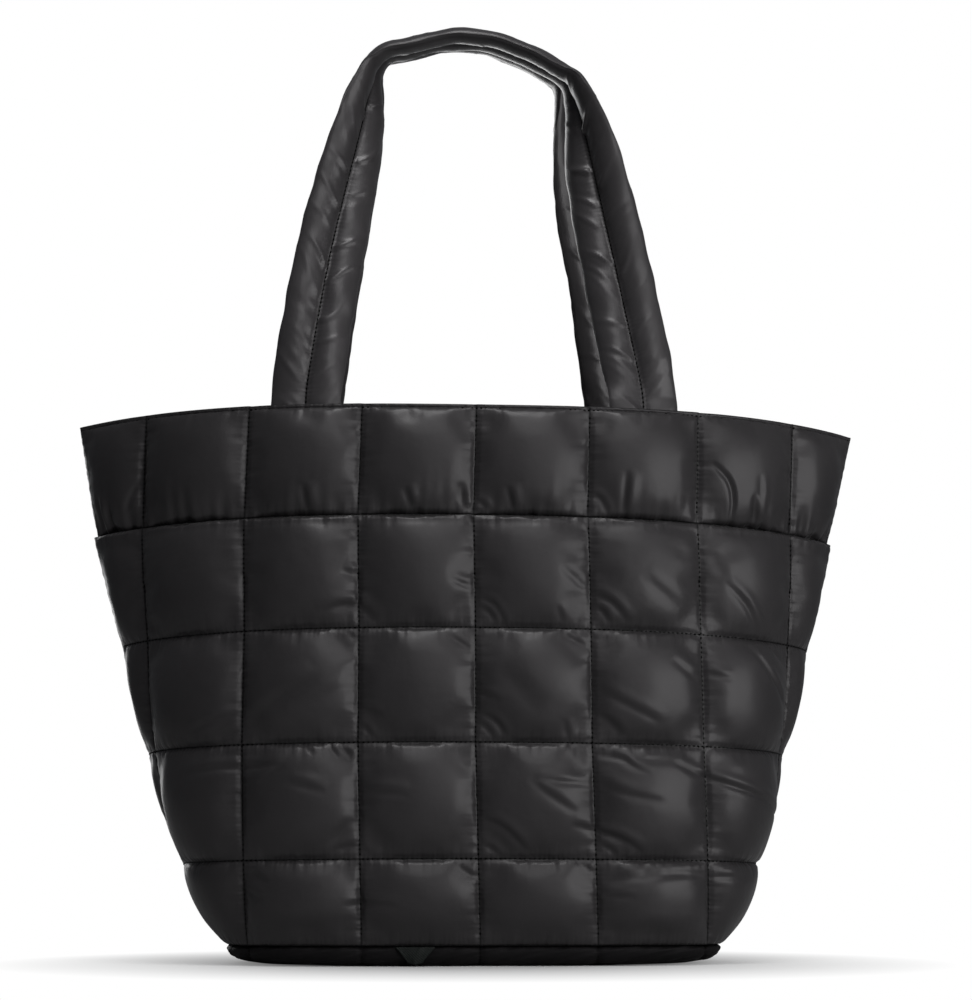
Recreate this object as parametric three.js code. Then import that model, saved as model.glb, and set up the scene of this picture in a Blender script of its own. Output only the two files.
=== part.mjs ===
// Quilted puffer tote bag with two padded shoulder straps, standing open on its base.
// Millimetres, +Z up. The origin is on the floor, at the middle of the bag.
// +X runs along the front, and -Y is the front.
import * as THREE from "three";

// Driving dimensions: the body
const quiltColumn = 75.2; // width of one quilted square, along the cloth
const quiltRow = 73.9; // height of one quilted square
const rimHeight = 363; // floor to the hem at the middle of the front
const openingWidth = 532; // across the side seams at the hem
const openingDepth = 150; // across the middle of the hem, front to back
const baseWidth = 324; // of the base seam
const baseDepth = 156; // of the base seam
const bellyDepth = 4.5; // how far the filled front swells past a straight side
const cornerDroop = 7; // how far the quilt's seams sink from the middle to the side seams
const bodySway = 4; // how far the soft body leans along X between the base and the top
const stitchedWall = 3; // thickness of the cloth and filling where it is stitched flat
const sideWall = 5; // the same, measured along X at the side seams
const puffHeight = 8.5; // rise of the middle of a square above its stitches
const narrowestCell = 8; // least width that the cells beside a side seam keep
const bandTuck = 2.4; // how far the top band's lower edge sits behind the panel under it
const gatherDepth = 3; // of the gathers along the top band's lower edge
const gathersPerSquare = 4;
const lipFullness = 0.45; // how much of its puff a panel keeps near its free top edge

// Driving dimensions: the base
const baseThickness = 12.7; // of the padded base
const baseEdgeRound = 10; // how far the base's lower edge is rounded inwards
const baseRimLift = 3.5; // how far the underside curls up at its two ends
const baseFlatMargin = 34; // from the base seam in to the flat of the underside

// Driving dimensions: the straps
const strapWidth = 47; // two padded tubes side by side
const strapThickness = 11; // of one tube
const strapSpread = 112; // middle of the bag to the middle of a strap's foot
const strapFootLength = 42; // sewn down inside the hem
const frontStrapRise = 269; // hem to the middle of the strap's top
const backStrapRise = 284;
const strapTopOffset = 26; // middle plane of the bag to the middle of a strap's top
const frontStrapTilt = -10; // degrees that its outer edge is higher than its inner one at the top
const backStrapTilt = 20;
const frontStrapKink = 0; // how far its right leg bends along X towards the top
const backStrapKink = -4;

// Driving dimensions: the folded tab at the base seam
const tabCentre = -39; // along X
const tabWidth = 26;
const tabTip = 10; // width of its folded lower end
const tabDrop = 11.5; // length below the base seam
const tabThickness = 1.8; // of its two layers

// Clearance between neighbouring pieces
const gap = 0.3;

// Finishes
const shellColour = 0x2e2c2f;
const baseColour = 0x1f1e20;
const tabColour = 0x262a26;

// One row for each seam, from the base seam up to the hem. flare goes from the base's width (0) to the
// opening's (1), lean from the base's depth to the opening's, and belly, sink and sway are shares of
// bellyDepth, cornerDroop and bodySway. A seam stays level for longer the larger its sinkPower is. bow and
// corner are the two powers of the outline seen from above: a large bow is flat along the front, and a
// small corner is full and round at the side, while 1 meets in a crease.
const seams = [
  { flare: 0.0, lean: 0.0, belly: 0.0, sink: 0.0, sinkPower: 2, sway: 0.6, bow: 5.0, corner: 0.25 },
  { flare: 0.272, lean: 0.15, belly: 1.0, sink: 0.45, sinkPower: 2, sway: 0.2, bow: 4.2, corner: 0.38 },
  { flare: 0.49, lean: 0.35, belly: 1.0, sink: 0.7, sinkPower: 2, sway: -0.25, bow: 3.6, corner: 0.5 },
  { flare: 0.677, lean: 0.6, belly: 0.9, sink: 1.0, sinkPower: 2, sway: -0.25, bow: 3.1, corner: 0.7 },
  { flare: 0.867, lean: 0.8, belly: 0.5, sink: 0.95, sinkPower: 2, sway: -0.55, bow: 2.9, corner: 0.85 },
  { flare: 1.0, lean: 1.0, belly: 0.0, sink: 0.7, sinkPower: 4, sway: 0.0, bow: 2.8, corner: 1.0 },
];
const bandSeam = seams.length - 2; // the row of the seam between the panel and the top band
const hem = seams.length - 1;
const baseSeamHeight = baseThickness + gap;

// Where the points of one square lie across it, and how full the puff is there. A gathered piece has a point
// on each crest and in each valley of its gathers.
const puffStations = [0, 0.2, 0.5, 0.8, 1];
const gatherStations = Array.from({ length: 2 * gathersPerSquare + 1 }, (_, i) => i / (2 * gathersPerSquare));
const puffPower = 0.6;

// The main dents of the front, each in quilt squares from the middle of the front (column) and up from the
// base seam (row), with its reach as a share of a square and its depth as a share of puffHeight.
const frontDents = [
  { name: "crescent fold, right of the band", column: 2.25, row: 4.3, reach: 0.3, depth: 0.55 },
  { name: "fold beside the left band seam", column: -3.1, row: 4.4, reach: 0.25, depth: 0.5 },
  { name: "slanting fold in row four", column: 1.8, row: 1.45, reach: 0.3, depth: 0.35 },
  { name: "sag in the right of row five", column: 2.5, row: 0.6, reach: 0.3, depth: 0.3 },
];

const TURN = 2 * Math.PI;

function lerp(from, to, share) {
  return from + (to - from) * share;
}

// Height of seam number index at the middle of the front.
function seamHeight(index) {
  return index === 0 ? baseSeamHeight : rimHeight - (hem - index) * quiltRow;
}

// The body's section at a place counted in seams, such as 1.5 halfway between seams one and two.
function sectionAt(place) {
  const below = Math.min(Math.floor(place), hem - 1);
  const share = place - below;
  const between = (key) => lerp(seams[below][key], seams[below + 1][key], share);
  return {
    z: lerp(seamHeight(below), seamHeight(below + 1), share),
    halfWidth: lerp(baseWidth, openingWidth, between("flare")) / 2,
    halfDepth: lerp(baseDepth, openingDepth, between("lean")) / 2 + between("belly") * bellyDepth,
    sink: between("sink") * cornerDroop,
    sinkPower: between("sinkPower"),
    sway: between("sway") * bodySway,
    bow: between("bow"),
    corner: between("corner"),
  };
}

// Half of the outline seen from above, from one side seam to the other past the front, measured along
// itself. insetWidth and insetDepth shrink it. point(along) is at that length from the front's middle.
function outline(section, insetWidth = 0, insetDepth = 0) {
  const steps = 120;
  const points = [];
  const lengths = [0];
  for (let i = 0; i <= steps; i++) {
    const angle = (i / steps) * (Math.PI / 2);
    const x = (section.halfWidth - insetWidth) * Math.sin(angle) ** (2 / section.bow);
    const y = (section.halfDepth - insetDepth) * Math.max(0, Math.cos(angle)) ** (2 * section.corner);
    points.push(new THREE.Vector2(x, i === steps ? 0 : y));
    if (i > 0) lengths.push(lengths[i - 1] + points[i].distanceTo(points[i - 1]));
  }
  const half = lengths[steps];
  function point(along) {
    const wanted = Math.min(Math.abs(along), half);
    let i = 1;
    while (i < steps && lengths[i] < wanted) i++;
    const share = (wanted - lengths[i - 1]) / (lengths[i] - lengths[i - 1]);
    const found = points[i - 1].clone().lerp(points[i], share);
    return new THREE.Vector2(section.sway + Math.sign(along) * found.x, -found.y);
  }
  // The direction straight out of the cloth, level with the floor.
  function outwards(along) {
    const reach = 0.6;
    const ahead = point(Math.min(along + reach, half));
    const behind = point(Math.max(along - reach, -half));
    const run = ahead.sub(behind).normalize();
    return new THREE.Vector2(run.y, -run.x);
  }
  return { half, point, outwards };
}

// Whole squares on each side of the middle, counted along the hem.
const wholeSquares = Math.max(1, Math.ceil((outline(sectionAt(hem)).half - narrowestCell) / quiltColumn) - 1);

// The edges of the quilted squares along the cloth, side seam to side seam. Where the bag is narrow, the
// outer lines draw together beside the side seams.
function columnEdges(half) {
  const edges = [];
  for (let k = -wholeSquares; k <= wholeSquares; k++) {
    const limit = half - narrowestCell * (1 + wholeSquares - Math.abs(k));
    edges.push(Math.sign(k) * Math.min(Math.abs(k) * quiltColumn, limit));
  }
  return [-half, ...edges, half];
}

function fullness(share) {
  return Math.max(0, Math.sin(Math.PI * share)) ** puffPower;
}

// How far the dents push the cloth in at a place given in squares.
function dentAt(dents, column, row) {
  let depth = 0;
  for (const dent of dents) {
    const away = Math.hypot(column - dent.column, row - dent.row) / dent.reach;
    depth += dent.depth * puffHeight * Math.exp(-away * away);
  }
  return depth;
}

// A closed solid from two grids of points with the same number of rows and columns, the outer and the
// inner face of a wall, with its four edges closed.
function wallSolid(outer, inner) {
  const rows = outer.length;
  const columns = outer[0].length;
  const positions = [...outer.flat(), ...inner.flat()].flatMap((p) => [p.x, p.y, p.z]);
  const faces = [];
  const at = (face, row, column) => face * rows * columns + row * columns + column;
  const quad = (a, b, c, d) => faces.push(a, b, c, a, c, d);
  for (let r = 0; r < rows - 1; r++) {
    for (let c = 0; c < columns - 1; c++) {
      quad(at(0, r, c), at(0, r, c + 1), at(0, r + 1, c + 1), at(0, r + 1, c));
      quad(at(1, r, c), at(1, r + 1, c), at(1, r + 1, c + 1), at(1, r, c + 1));
    }
  }
  for (let c = 0; c < columns - 1; c++) {
    quad(at(0, 0, c), at(1, 0, c), at(1, 0, c + 1), at(0, 0, c + 1));
    quad(at(0, rows - 1, c), at(0, rows - 1, c + 1), at(1, rows - 1, c + 1), at(1, rows - 1, c));
  }
  for (let r = 0; r < rows - 1; r++) {
    quad(at(0, r, 0), at(0, r + 1, 0), at(1, r + 1, 0), at(1, r, 0));
    quad(at(0, r, columns - 1), at(1, r, columns - 1), at(1, r + 1, columns - 1), at(0, r + 1, columns - 1));
  }
  return solidGeometry(positions, faces);
}

// A closed solid from rings of points, one after another, with a fan over each end.
function ringSolid(rings) {
  const sides = rings[0].length;
  const centres = [rings[0], rings[rings.length - 1]].map((ring) =>
    ring.reduce((sum, p) => sum.add(p), new THREE.Vector3()).divideScalar(sides),
  );
  const positions = [...rings.flat(), ...centres].flatMap((p) => [p.x, p.y, p.z]);
  const firstCentre = rings.length * sides;
  const lastRing = (rings.length - 1) * sides;
  const faces = [];
  for (let s = 0; s < sides; s++) {
    const next = (s + 1) % sides;
    for (let r = 0; r < rings.length - 1; r++) {
      const low = r * sides;
      const high = low + sides;
      faces.push(low + s, low + next, high + next, low + s, high + next, high + s);
    }
    faces.push(firstCentre, next, s, firstCentre + 1, lastRing + s, lastRing + next);
  }
  return solidGeometry(positions, faces);
}

function solidGeometry(positions, faces) {
  const geometry = new THREE.BufferGeometry();
  geometry.setAttribute("position", new THREE.Float32BufferAttribute(positions, 3));
  geometry.setIndex(faces);
  geometry.computeVertexNormals();
  return geometry;
}

// A quilted half of the body between two seams. side is -1 for the front and 1 for the back. tuck sets its
// lower edge back and gathers it, and lip keeps its top edge full.
function quiltedWall({ firstSeam, lastSeam, side, dents, tuck, lip }) {
  const acrossStations = tuck > 0 ? gatherStations : puffStations;
  const places = [];
  for (let seam = firstSeam; seam < lastSeam; seam++) {
    const stations = seam === firstSeam ? puffStations : puffStations.slice(1);
    places.push(...stations.map((share) => ({ seam, share })));
  }
  const outer = [];
  const inner = [];
  for (const { seam, share } of places) {
    const section = sectionAt(seam + share);
    const tucked = seam === firstSeam ? tuck * (1 - share) : 0;
    const outside = outline(section, tucked, tucked);
    const inside = outline(section, tucked + sideWall, tucked + stitchedWall);
    const edges = columnEdges(outside.half);
    const trim = rowTrim(seam + share, firstSeam, lastSeam);
    const outerRow = [];
    const innerRow = [];
    edges.slice(1).forEach((right, cell) => {
      const left = edges[cell];
      for (const across of cell === 0 ? acrossStations : acrossStations.slice(1)) {
        const along = lerp(left, right, across);
        const z = section.z + trim - section.sink * Math.abs(along / outside.half) ** section.sinkPower;
        const room = Math.min(1, (right - left) / quiltColumn) ** 0.7;
        const rolled = seam === lastSeam - 1 && share > 0.5 ? Math.max(fullness(share), lip) : fullness(share);
        const full = fullness(across) * rolled;
        const gather = tuck > 0 ? gatherDepth * (1 - share) ** 2 * Math.cos(TURN * gathersPerSquare * across) : 0;
        const swell = puffHeight * room * full - full * dentAt(dents, along / quiltColumn, seam + share);
        const out = outside.outwards(along).multiplyScalar(Math.max(0, swell - Math.max(0, gather) * full));
        const face = outside.point(along).add(out);
        const lining = inside.point((along / outside.half) * inside.half);
        outerRow.push(new THREE.Vector3(face.x, -side * (face.y - gap / 2), z));
        innerRow.push(new THREE.Vector3(lining.x, -side * (lining.y - gap / 2), z));
      }
    });
    outer.push(side < 0 ? outerRow : outerRow.reverse());
    inner.push(side < 0 ? innerRow : innerRow.reverse());
  }
  return wallSolid(outer, inner);
}

// The small shift that leaves the gap between the panel's top edge and the band over it.
function rowTrim(place, firstSeam, lastSeam) {
  if (place === bandSeam && lastSeam === bandSeam) return -gap / 2;
  if (place === bandSeam && firstSeam === bandSeam) return gap / 2;
  return 0;
}

// The padded base: a slab with the outline of the base seam, a rounded lower edge, and an underside that
// is flat in the middle and curls up a little towards its two ends.
function baseSolid() {
  const section = sectionAt(0);
  const levels = [
    { height: 0, inset: baseFlatMargin, lift: 0 },
    { height: 0, inset: baseEdgeRound, lift: 1 },
    { height: 0.12, inset: 0.5 * baseEdgeRound, lift: 1 },
    { height: 0.4, inset: 0.12 * baseEdgeRound, lift: 0.8 },
    { height: 0.75, inset: 0, lift: 0.3 },
    { height: 1, inset: 0.12 * baseEdgeRound, lift: 0 },
  ];
  const sidePoints = 28;
  const rings = levels.map(({ height, inset, lift }) => {
    const edge = outline(section, inset, inset);
    const ring = [];
    for (const side of [-1, 1]) {
      for (let i = 0; i < sidePoints; i++) {
        const spot = edge.point(lerp(-edge.half, edge.half, i / sidePoints) * -side);
        const curl = lift * baseRimLift * Math.abs((spot.x - section.sway) / section.halfWidth) ** 3;
        ring.push(new THREE.Vector3(spot.x, -side * spot.y, height * baseThickness + curl));
      }
    }
    return ring;
  });
  return ringSolid(rings);
}

// The outline of a strap cut across: two tubes joined by the stitched waist. across is a share of half the
// width, and thick a share of half a tube's thickness.
const strapProfile = [
  { across: 1, thick: 0 },
  { across: 0.86, thick: 0.78 },
  { across: 0.5, thick: 1 },
  { across: 0, thick: 0.4 },
  { across: -0.5, thick: 1 },
  { across: -0.86, thick: 0.78 },
  { across: -1, thick: 0 },
  { across: -0.86, thick: -0.78 },
  { across: -0.5, thick: -1 },
  { across: 0, thick: -0.4 },
  { across: 0.5, thick: -1 },
  { across: 0.86, thick: -0.78 },
];

// A strap's route from its left foot to its right one. out is a share of strapSpread, up a share of the
// strap's rise above the hem, turn the degrees that the strap has twisted from facing forwards, and kink a
// share of how far that strap's leg bends.
const strapRoute = [
  { out: -0.975, up: 0.12, turn: 0 },
  { out: -0.93, up: 0.25, turn: 10 },
  { out: -0.87, up: 0.4, turn: 16 },
  { out: -0.8, up: 0.545, turn: 26 },
  { out: -0.722, up: 0.69, turn: 38 },
  { out: -0.68, up: 0.775, turn: 50 },
  { out: -0.645, up: 0.85, turn: 64 },
  { out: -0.61, up: 0.915, turn: 82 },
  { out: -0.54, up: 0.955, turn: 90 },
  { out: -0.41, up: 0.969, turn: 90 },
  { out: -0.24, up: 0.99, turn: 90 },
  { out: -0.06, up: 1, turn: 90 },
  { out: 0.12, up: 0.993, turn: 90 },
  { out: 0.3, up: 0.967, turn: 90 },
  { out: 0.47, up: 0.934, turn: 90 },
  { out: 0.59, up: 0.898, turn: 88, kink: 0.2 },
  { out: 0.65, up: 0.845, turn: 78, kink: 0.7 },
  { out: 0.685, up: 0.78, turn: 64, kink: 1 },
  { out: 0.72, up: 0.7, turn: 48, kink: 1 },
  { out: 0.79, up: 0.54, turn: 30, kink: 0.9 },
  { out: 0.85, up: 0.405, turn: 20 },
  { out: 0.91, up: 0.26, turn: 12 },
  { out: 0.97, up: 0.12, turn: 4 },
];
const footFullness = 0.55; // the padding's share of its thickness where the foot is sewn down
const leanEnds = 0.9; // share of the rise at which a strap has leaned in to its top's place

// Where a strap's foot lies against the inside of the hem: its middle, and the wall's direction there.
function footPlace(place) {
  const section = sectionAt(place);
  const inside = outline(section, sideWall, stitchedWall);
  const beside = inside.point(strapSpread);
  const ahead = inside.point(strapSpread + 1);
  const clear = (footFullness * strapThickness) / 2 + 2 * gap;
  return {
    depth: beside.y + clear,
    turn: -THREE.MathUtils.radToDeg(Math.atan2(ahead.y - beside.y, ahead.x - beside.x)),
  };
}

function strapSolid({ side, rise, tilt, kink }) {
  const sunk = footPlace(hem - strapFootLength / quiltRow);
  const foot = footPlace(hem);
  const footDepth = Math.max(foot.depth, sunk.depth);
  const stations = [];
  const addStation = (out, up, turn, full, bend = 0) => {
    const sideways = Math.sign(out);
    const turned = THREE.MathUtils.degToRad(turn);
    const tilted = THREE.MathUtils.degToRad(tilt);
    stations.push({
      middle: new THREE.Vector3(
        out * strapSpread + bend * kink,
        side * lerp(-footDepth, strapTopOffset, Math.min(1, Math.max(0, up) / leanEnds)),
        rimHeight + up * rise,
      ),
      across: new THREE.Vector3(
        sideways * Math.cos(turned),
        side * Math.sin(turned) * Math.cos(tilted),
        Math.sin(turned) * Math.sin(tilted) * Math.max(0, turn / 90),
      ),
      full,
    });
  };
  const buried = -strapFootLength / rise;
  const halfBuried = buried / 2;
  const emerging = 0.03;
  addStation(-1, buried, foot.turn, footFullness);
  addStation(-1, halfBuried, foot.turn, footFullness);
  addStation(-1, emerging, foot.turn, footFullness);
  strapRoute.forEach((place) => addStation(place.out, place.up, place.turn, 1, place.kink));
  addStation(1, emerging, foot.turn, footFullness);
  addStation(1, halfBuried, foot.turn, footFullness);
  addStation(1, buried, foot.turn, footFullness);

  const route = new THREE.CatmullRomCurve3(
    stations.map((station) => station.middle),
    false,
    "centripetal",
  );
  const stepsEach = 2;
  const steps = (stations.length - 1) * stepsEach;
  const rings = [];
  for (let i = 0; i <= steps; i++) {
    const place = i / stepsEach;
    const below = Math.min(Math.floor(place), stations.length - 2);
    const share = place - below;
    const run = route.getTangent(i / steps);
    const across = stations[below].across.clone().lerp(stations[below + 1].across, share);
    across.addScaledVector(run, -across.dot(run)).normalize();
    const facing = new THREE.Vector3().crossVectors(run, across);
    const middle = route.getPoint(i / steps);
    const full = lerp(stations[below].full, stations[below + 1].full, share);
    const ring = strapProfile.map((spot) =>
      middle
        .clone()
        .addScaledVector(across, (spot.across * strapWidth) / 2)
        .addScaledVector(facing, (spot.thick * full * strapThickness) / 2),
    );
    rings.push(ring);
  }
  return ringSolid(rings);
}

// The folded tab that hangs from the base seam in front of the base: its corners are folded in towards a
// narrow lower end.
function tabSolid() {
  const edge = outline(sectionAt(0));
  const wallFront = edge.point(tabCentre).y;
  const levels = [
    { drop: 1, narrowed: 1, bulge: 0.5 },
    { drop: 0.8, narrowed: 0.8, bulge: 1 },
    { drop: 0.35, narrowed: 0.3, bulge: 0.9 },
    { drop: 0, narrowed: 0, bulge: 0.5 },
  ];
  const top = baseSeamHeight - gap;
  const back = wallFront - gap;
  const rings = levels.map(({ drop, narrowed, bulge }) => {
    const z = top - drop * tabDrop;
    const front = back - bulge * tabThickness;
    const half = lerp(tabWidth, tabTip, narrowed) / 2;
    return [
      new THREE.Vector3(tabCentre - half, front, z),
      new THREE.Vector3(tabCentre, front, z),
      new THREE.Vector3(tabCentre + half, front, z),
      new THREE.Vector3(tabCentre + half, back, z),
      new THREE.Vector3(tabCentre, back, z),
      new THREE.Vector3(tabCentre - half, back, z),
    ];
  });
  return ringSolid(rings);
}

function clothPiece(name, geometry, color) {
  const material = new THREE.MeshStandardMaterial({ color, roughness: 0.55, metalness: 0 });
  const piece = new THREE.Mesh(geometry, material);
  piece.name = name;
  return piece;
}

const bag = new THREE.Group();
for (const { word, side, dents } of [
  { word: "front", side: -1, dents: frontDents },
  { word: "back", side: 1, dents: [] },
]) {
  const panel = quiltedWall({ firstSeam: 0, lastSeam: bandSeam, side, dents, tuck: 0, lip: lipFullness });
  const band = quiltedWall({ firstSeam: bandSeam, lastSeam: hem, side, dents, tuck: bandTuck, lip: 0 });
  bag.add(clothPiece(word + "_panel", panel, shellColour));
  bag.add(clothPiece(word + "_top_band", band, shellColour));
}
bag.add(clothPiece("base_panel", baseSolid(), baseColour));
const straps = [
  { name: "front_strap", side: -1, rise: frontStrapRise, tilt: frontStrapTilt, kink: frontStrapKink },
  { name: "back_strap", side: 1, rise: backStrapRise, tilt: backStrapTilt, kink: backStrapKink },
];
for (const { name, ...strap } of straps) {
  bag.add(clothPiece(name, strapSolid(strap), shellColour));
}
bag.add(clothPiece("base_tab", tabSolid(), tabColour));

export default bag;
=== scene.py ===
"""Dresses the quilted puffer tote bag: black satin nylon over filling, sewn in squares, with a gathered top
band, a padded base, two shoulder straps of paired tubes and a folded tab. Metres, +Z up, front at -Y."""
import math
from collections import namedtuple

import bmesh
import bpy
import numpy as np
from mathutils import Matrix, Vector


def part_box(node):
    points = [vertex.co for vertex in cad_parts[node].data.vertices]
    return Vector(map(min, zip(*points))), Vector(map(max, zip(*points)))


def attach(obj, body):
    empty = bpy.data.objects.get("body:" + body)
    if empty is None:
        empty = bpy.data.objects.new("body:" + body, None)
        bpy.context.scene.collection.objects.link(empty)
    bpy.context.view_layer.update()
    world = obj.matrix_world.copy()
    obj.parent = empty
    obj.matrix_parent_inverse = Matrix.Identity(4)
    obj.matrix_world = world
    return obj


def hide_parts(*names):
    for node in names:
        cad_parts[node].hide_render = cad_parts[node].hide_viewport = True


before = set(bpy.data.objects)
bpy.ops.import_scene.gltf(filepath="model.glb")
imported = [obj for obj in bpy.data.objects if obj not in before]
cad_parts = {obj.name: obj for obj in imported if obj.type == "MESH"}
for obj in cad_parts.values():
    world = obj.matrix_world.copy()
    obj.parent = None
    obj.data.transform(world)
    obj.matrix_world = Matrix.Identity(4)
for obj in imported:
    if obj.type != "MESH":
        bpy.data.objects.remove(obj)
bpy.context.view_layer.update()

# Sizes of the body, as it is cut and sewn
QUILT_COLUMN = 0.0752
QUILT_ROW = 0.0739
RIM_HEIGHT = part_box("front_top_band")[1].z
OPENING_WIDTH = 0.532
OPENING_DEPTH = 0.150
BASE_WIDTH = 0.324
BASE_DEPTH = 0.156
BELLY_DEPTH = 0.0045
CORNER_DROOP = 0.007
BODY_SWAY = 0.004
STITCHED_WALL = 0.003
SIDE_WALL = 0.005
PUFF_HEIGHT = 0.0085
LINING_PUFF = 0.0012
NARROWEST_CELL = 0.008
BAND_TUCK = 0.002
GAP = 0.0003

# Sizes of the base
BASE_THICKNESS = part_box("base_panel")[1].z
BASE_SEAM_HEIGHT = BASE_THICKNESS + GAP
BASE_EDGE_ROUND = 0.010
BASE_RIM_LIFT = 0.0035

# Sizes of the straps
STRAP_WIDTH = 0.047
STRAP_THICKNESS = 0.011
STRAP_SPREAD = 0.112
STRAP_FOOT_LENGTH = 0.042
STRAP_TOP_OFFSET = 0.026
FOOT_FULLNESS = 0.55
LEAN_ENDS = 0.9

# Sizes of the folded tab
TAB_CENTRE = -0.039
TAB_WIDTH = 0.026
TAB_TIP = 0.010
TAB_DROP = 0.0115
TAB_THICKNESS = 0.0018

# Thread
STITCH_PITCH = 0.0031
STITCH_LENGTH = 0.0019
STITCH_WIDTH = 0.0013
STITCH_RISE = 0.0004

# One row for each seam, from the base seam up to the hem. flare runs from the base's width to the
# opening's, lean from the base's depth to the opening's, and belly, sink and sway are shares of their own
# sizes. bow and corner are the powers of the outline seen from above.
Seam = namedtuple("Seam", "flare lean belly sink sink_power sway bow corner")
SEAMS = [
    Seam(0.0, 0.0, 0.0, 0.0, 2, 0.6, 5.0, 0.25),
    Seam(0.272, 0.15, 1.0, 0.45, 2, 0.2, 4.2, 0.38),
    Seam(0.49, 0.35, 1.0, 0.7, 2, -0.25, 3.6, 0.5),
    Seam(0.677, 0.6, 0.9, 1.0, 2, -0.25, 3.1, 0.7),
    Seam(0.867, 0.8, 0.5, 0.95, 2, -0.55, 2.9, 0.85),
    Seam(1.0, 1.0, 0.0, 0.7, 4, 0.0, 2.8, 1.0),
]
BAND_SEAM = len(SEAMS) - 2
HEM = len(SEAMS) - 1
SIDE_LINE = 4
LINES = np.arange(-SIDE_LINE, SIDE_LINE + 1)

# The folds that show on the front, by kind. A kind is its width in millimetres, its depth in units of
# FOLD_DEPTH, and how high the ridge beside the crease stands, as a share of its depth. Each path is places
# on the cloth as (column, row): columns in squares from the middle, rows in seams up from the base.
Fold = namedtuple("Fold", "width depth lift path")
FOLD_DEPTH = 0.0008
MILLIMETRE = 0.001
CREASE = (1.8, 0.9, 0.8)
CORNER_CREASE = (1.5, 1, 0.9)
FINE_CREASE = (1.4, 0.8, 0.9)
SLACK_CREASE = (2.4, 0.9, 0.8)
DEEP_CREASE = (1.9, 1.6, 0.8)
RIDGE = (2.2, 0.8, 1.2)
GATHERED_PLEAT = (2, 1.8, 0.7)


def folds_of(kinds):
    return [Fold(*kind, path) for kind, paths in kinds for path in paths]


BAND_FOLDS = folds_of([
    ((1.6, 3.0, 0.12), [[(2.1, 4.54), (2.27, 4.4), (2.32, 4.21), (2.3, 4.02)]]),
    ((2.4, 2.6, 0.3), [[(-2.99, 4.73), (-3, 4.42), (-2.99, 4.03)]]),
    ((2, 2.2, 0.3), [[(-3.03, 4.42), (-3.17, 4.28), (-3.23, 4.17)]]),
    (GATHERED_PLEAT, [
        [(-1.48, 4.28), (-1.44, 4.02)], [(-0.61, 4.24), (-0.53, 4.02)], [(-0.12, 4.28), (-0.09, 4.04)],
        [(0.28, 4.25), (0.34, 4.03)], [(1.32, 4.42), (1.3, 4.04)], [(2.51, 4.29), (2.58, 4.01)],
        [(-3.71, 4.35), (-3.71, 4.06)], [(-3.53, 4.25), (-3.55, 4.04)],
    ]),
    (CORNER_CREASE, [
        [(1, 4.22), (1.11, 4.17), (1.18, 4.01)], [(0, 4.13), (0.08, 4.1), (0.14, 4.02)],
    ]),
    (CREASE, [[(2.56, 4.48), (2.61, 4.04)]]),
])
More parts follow.
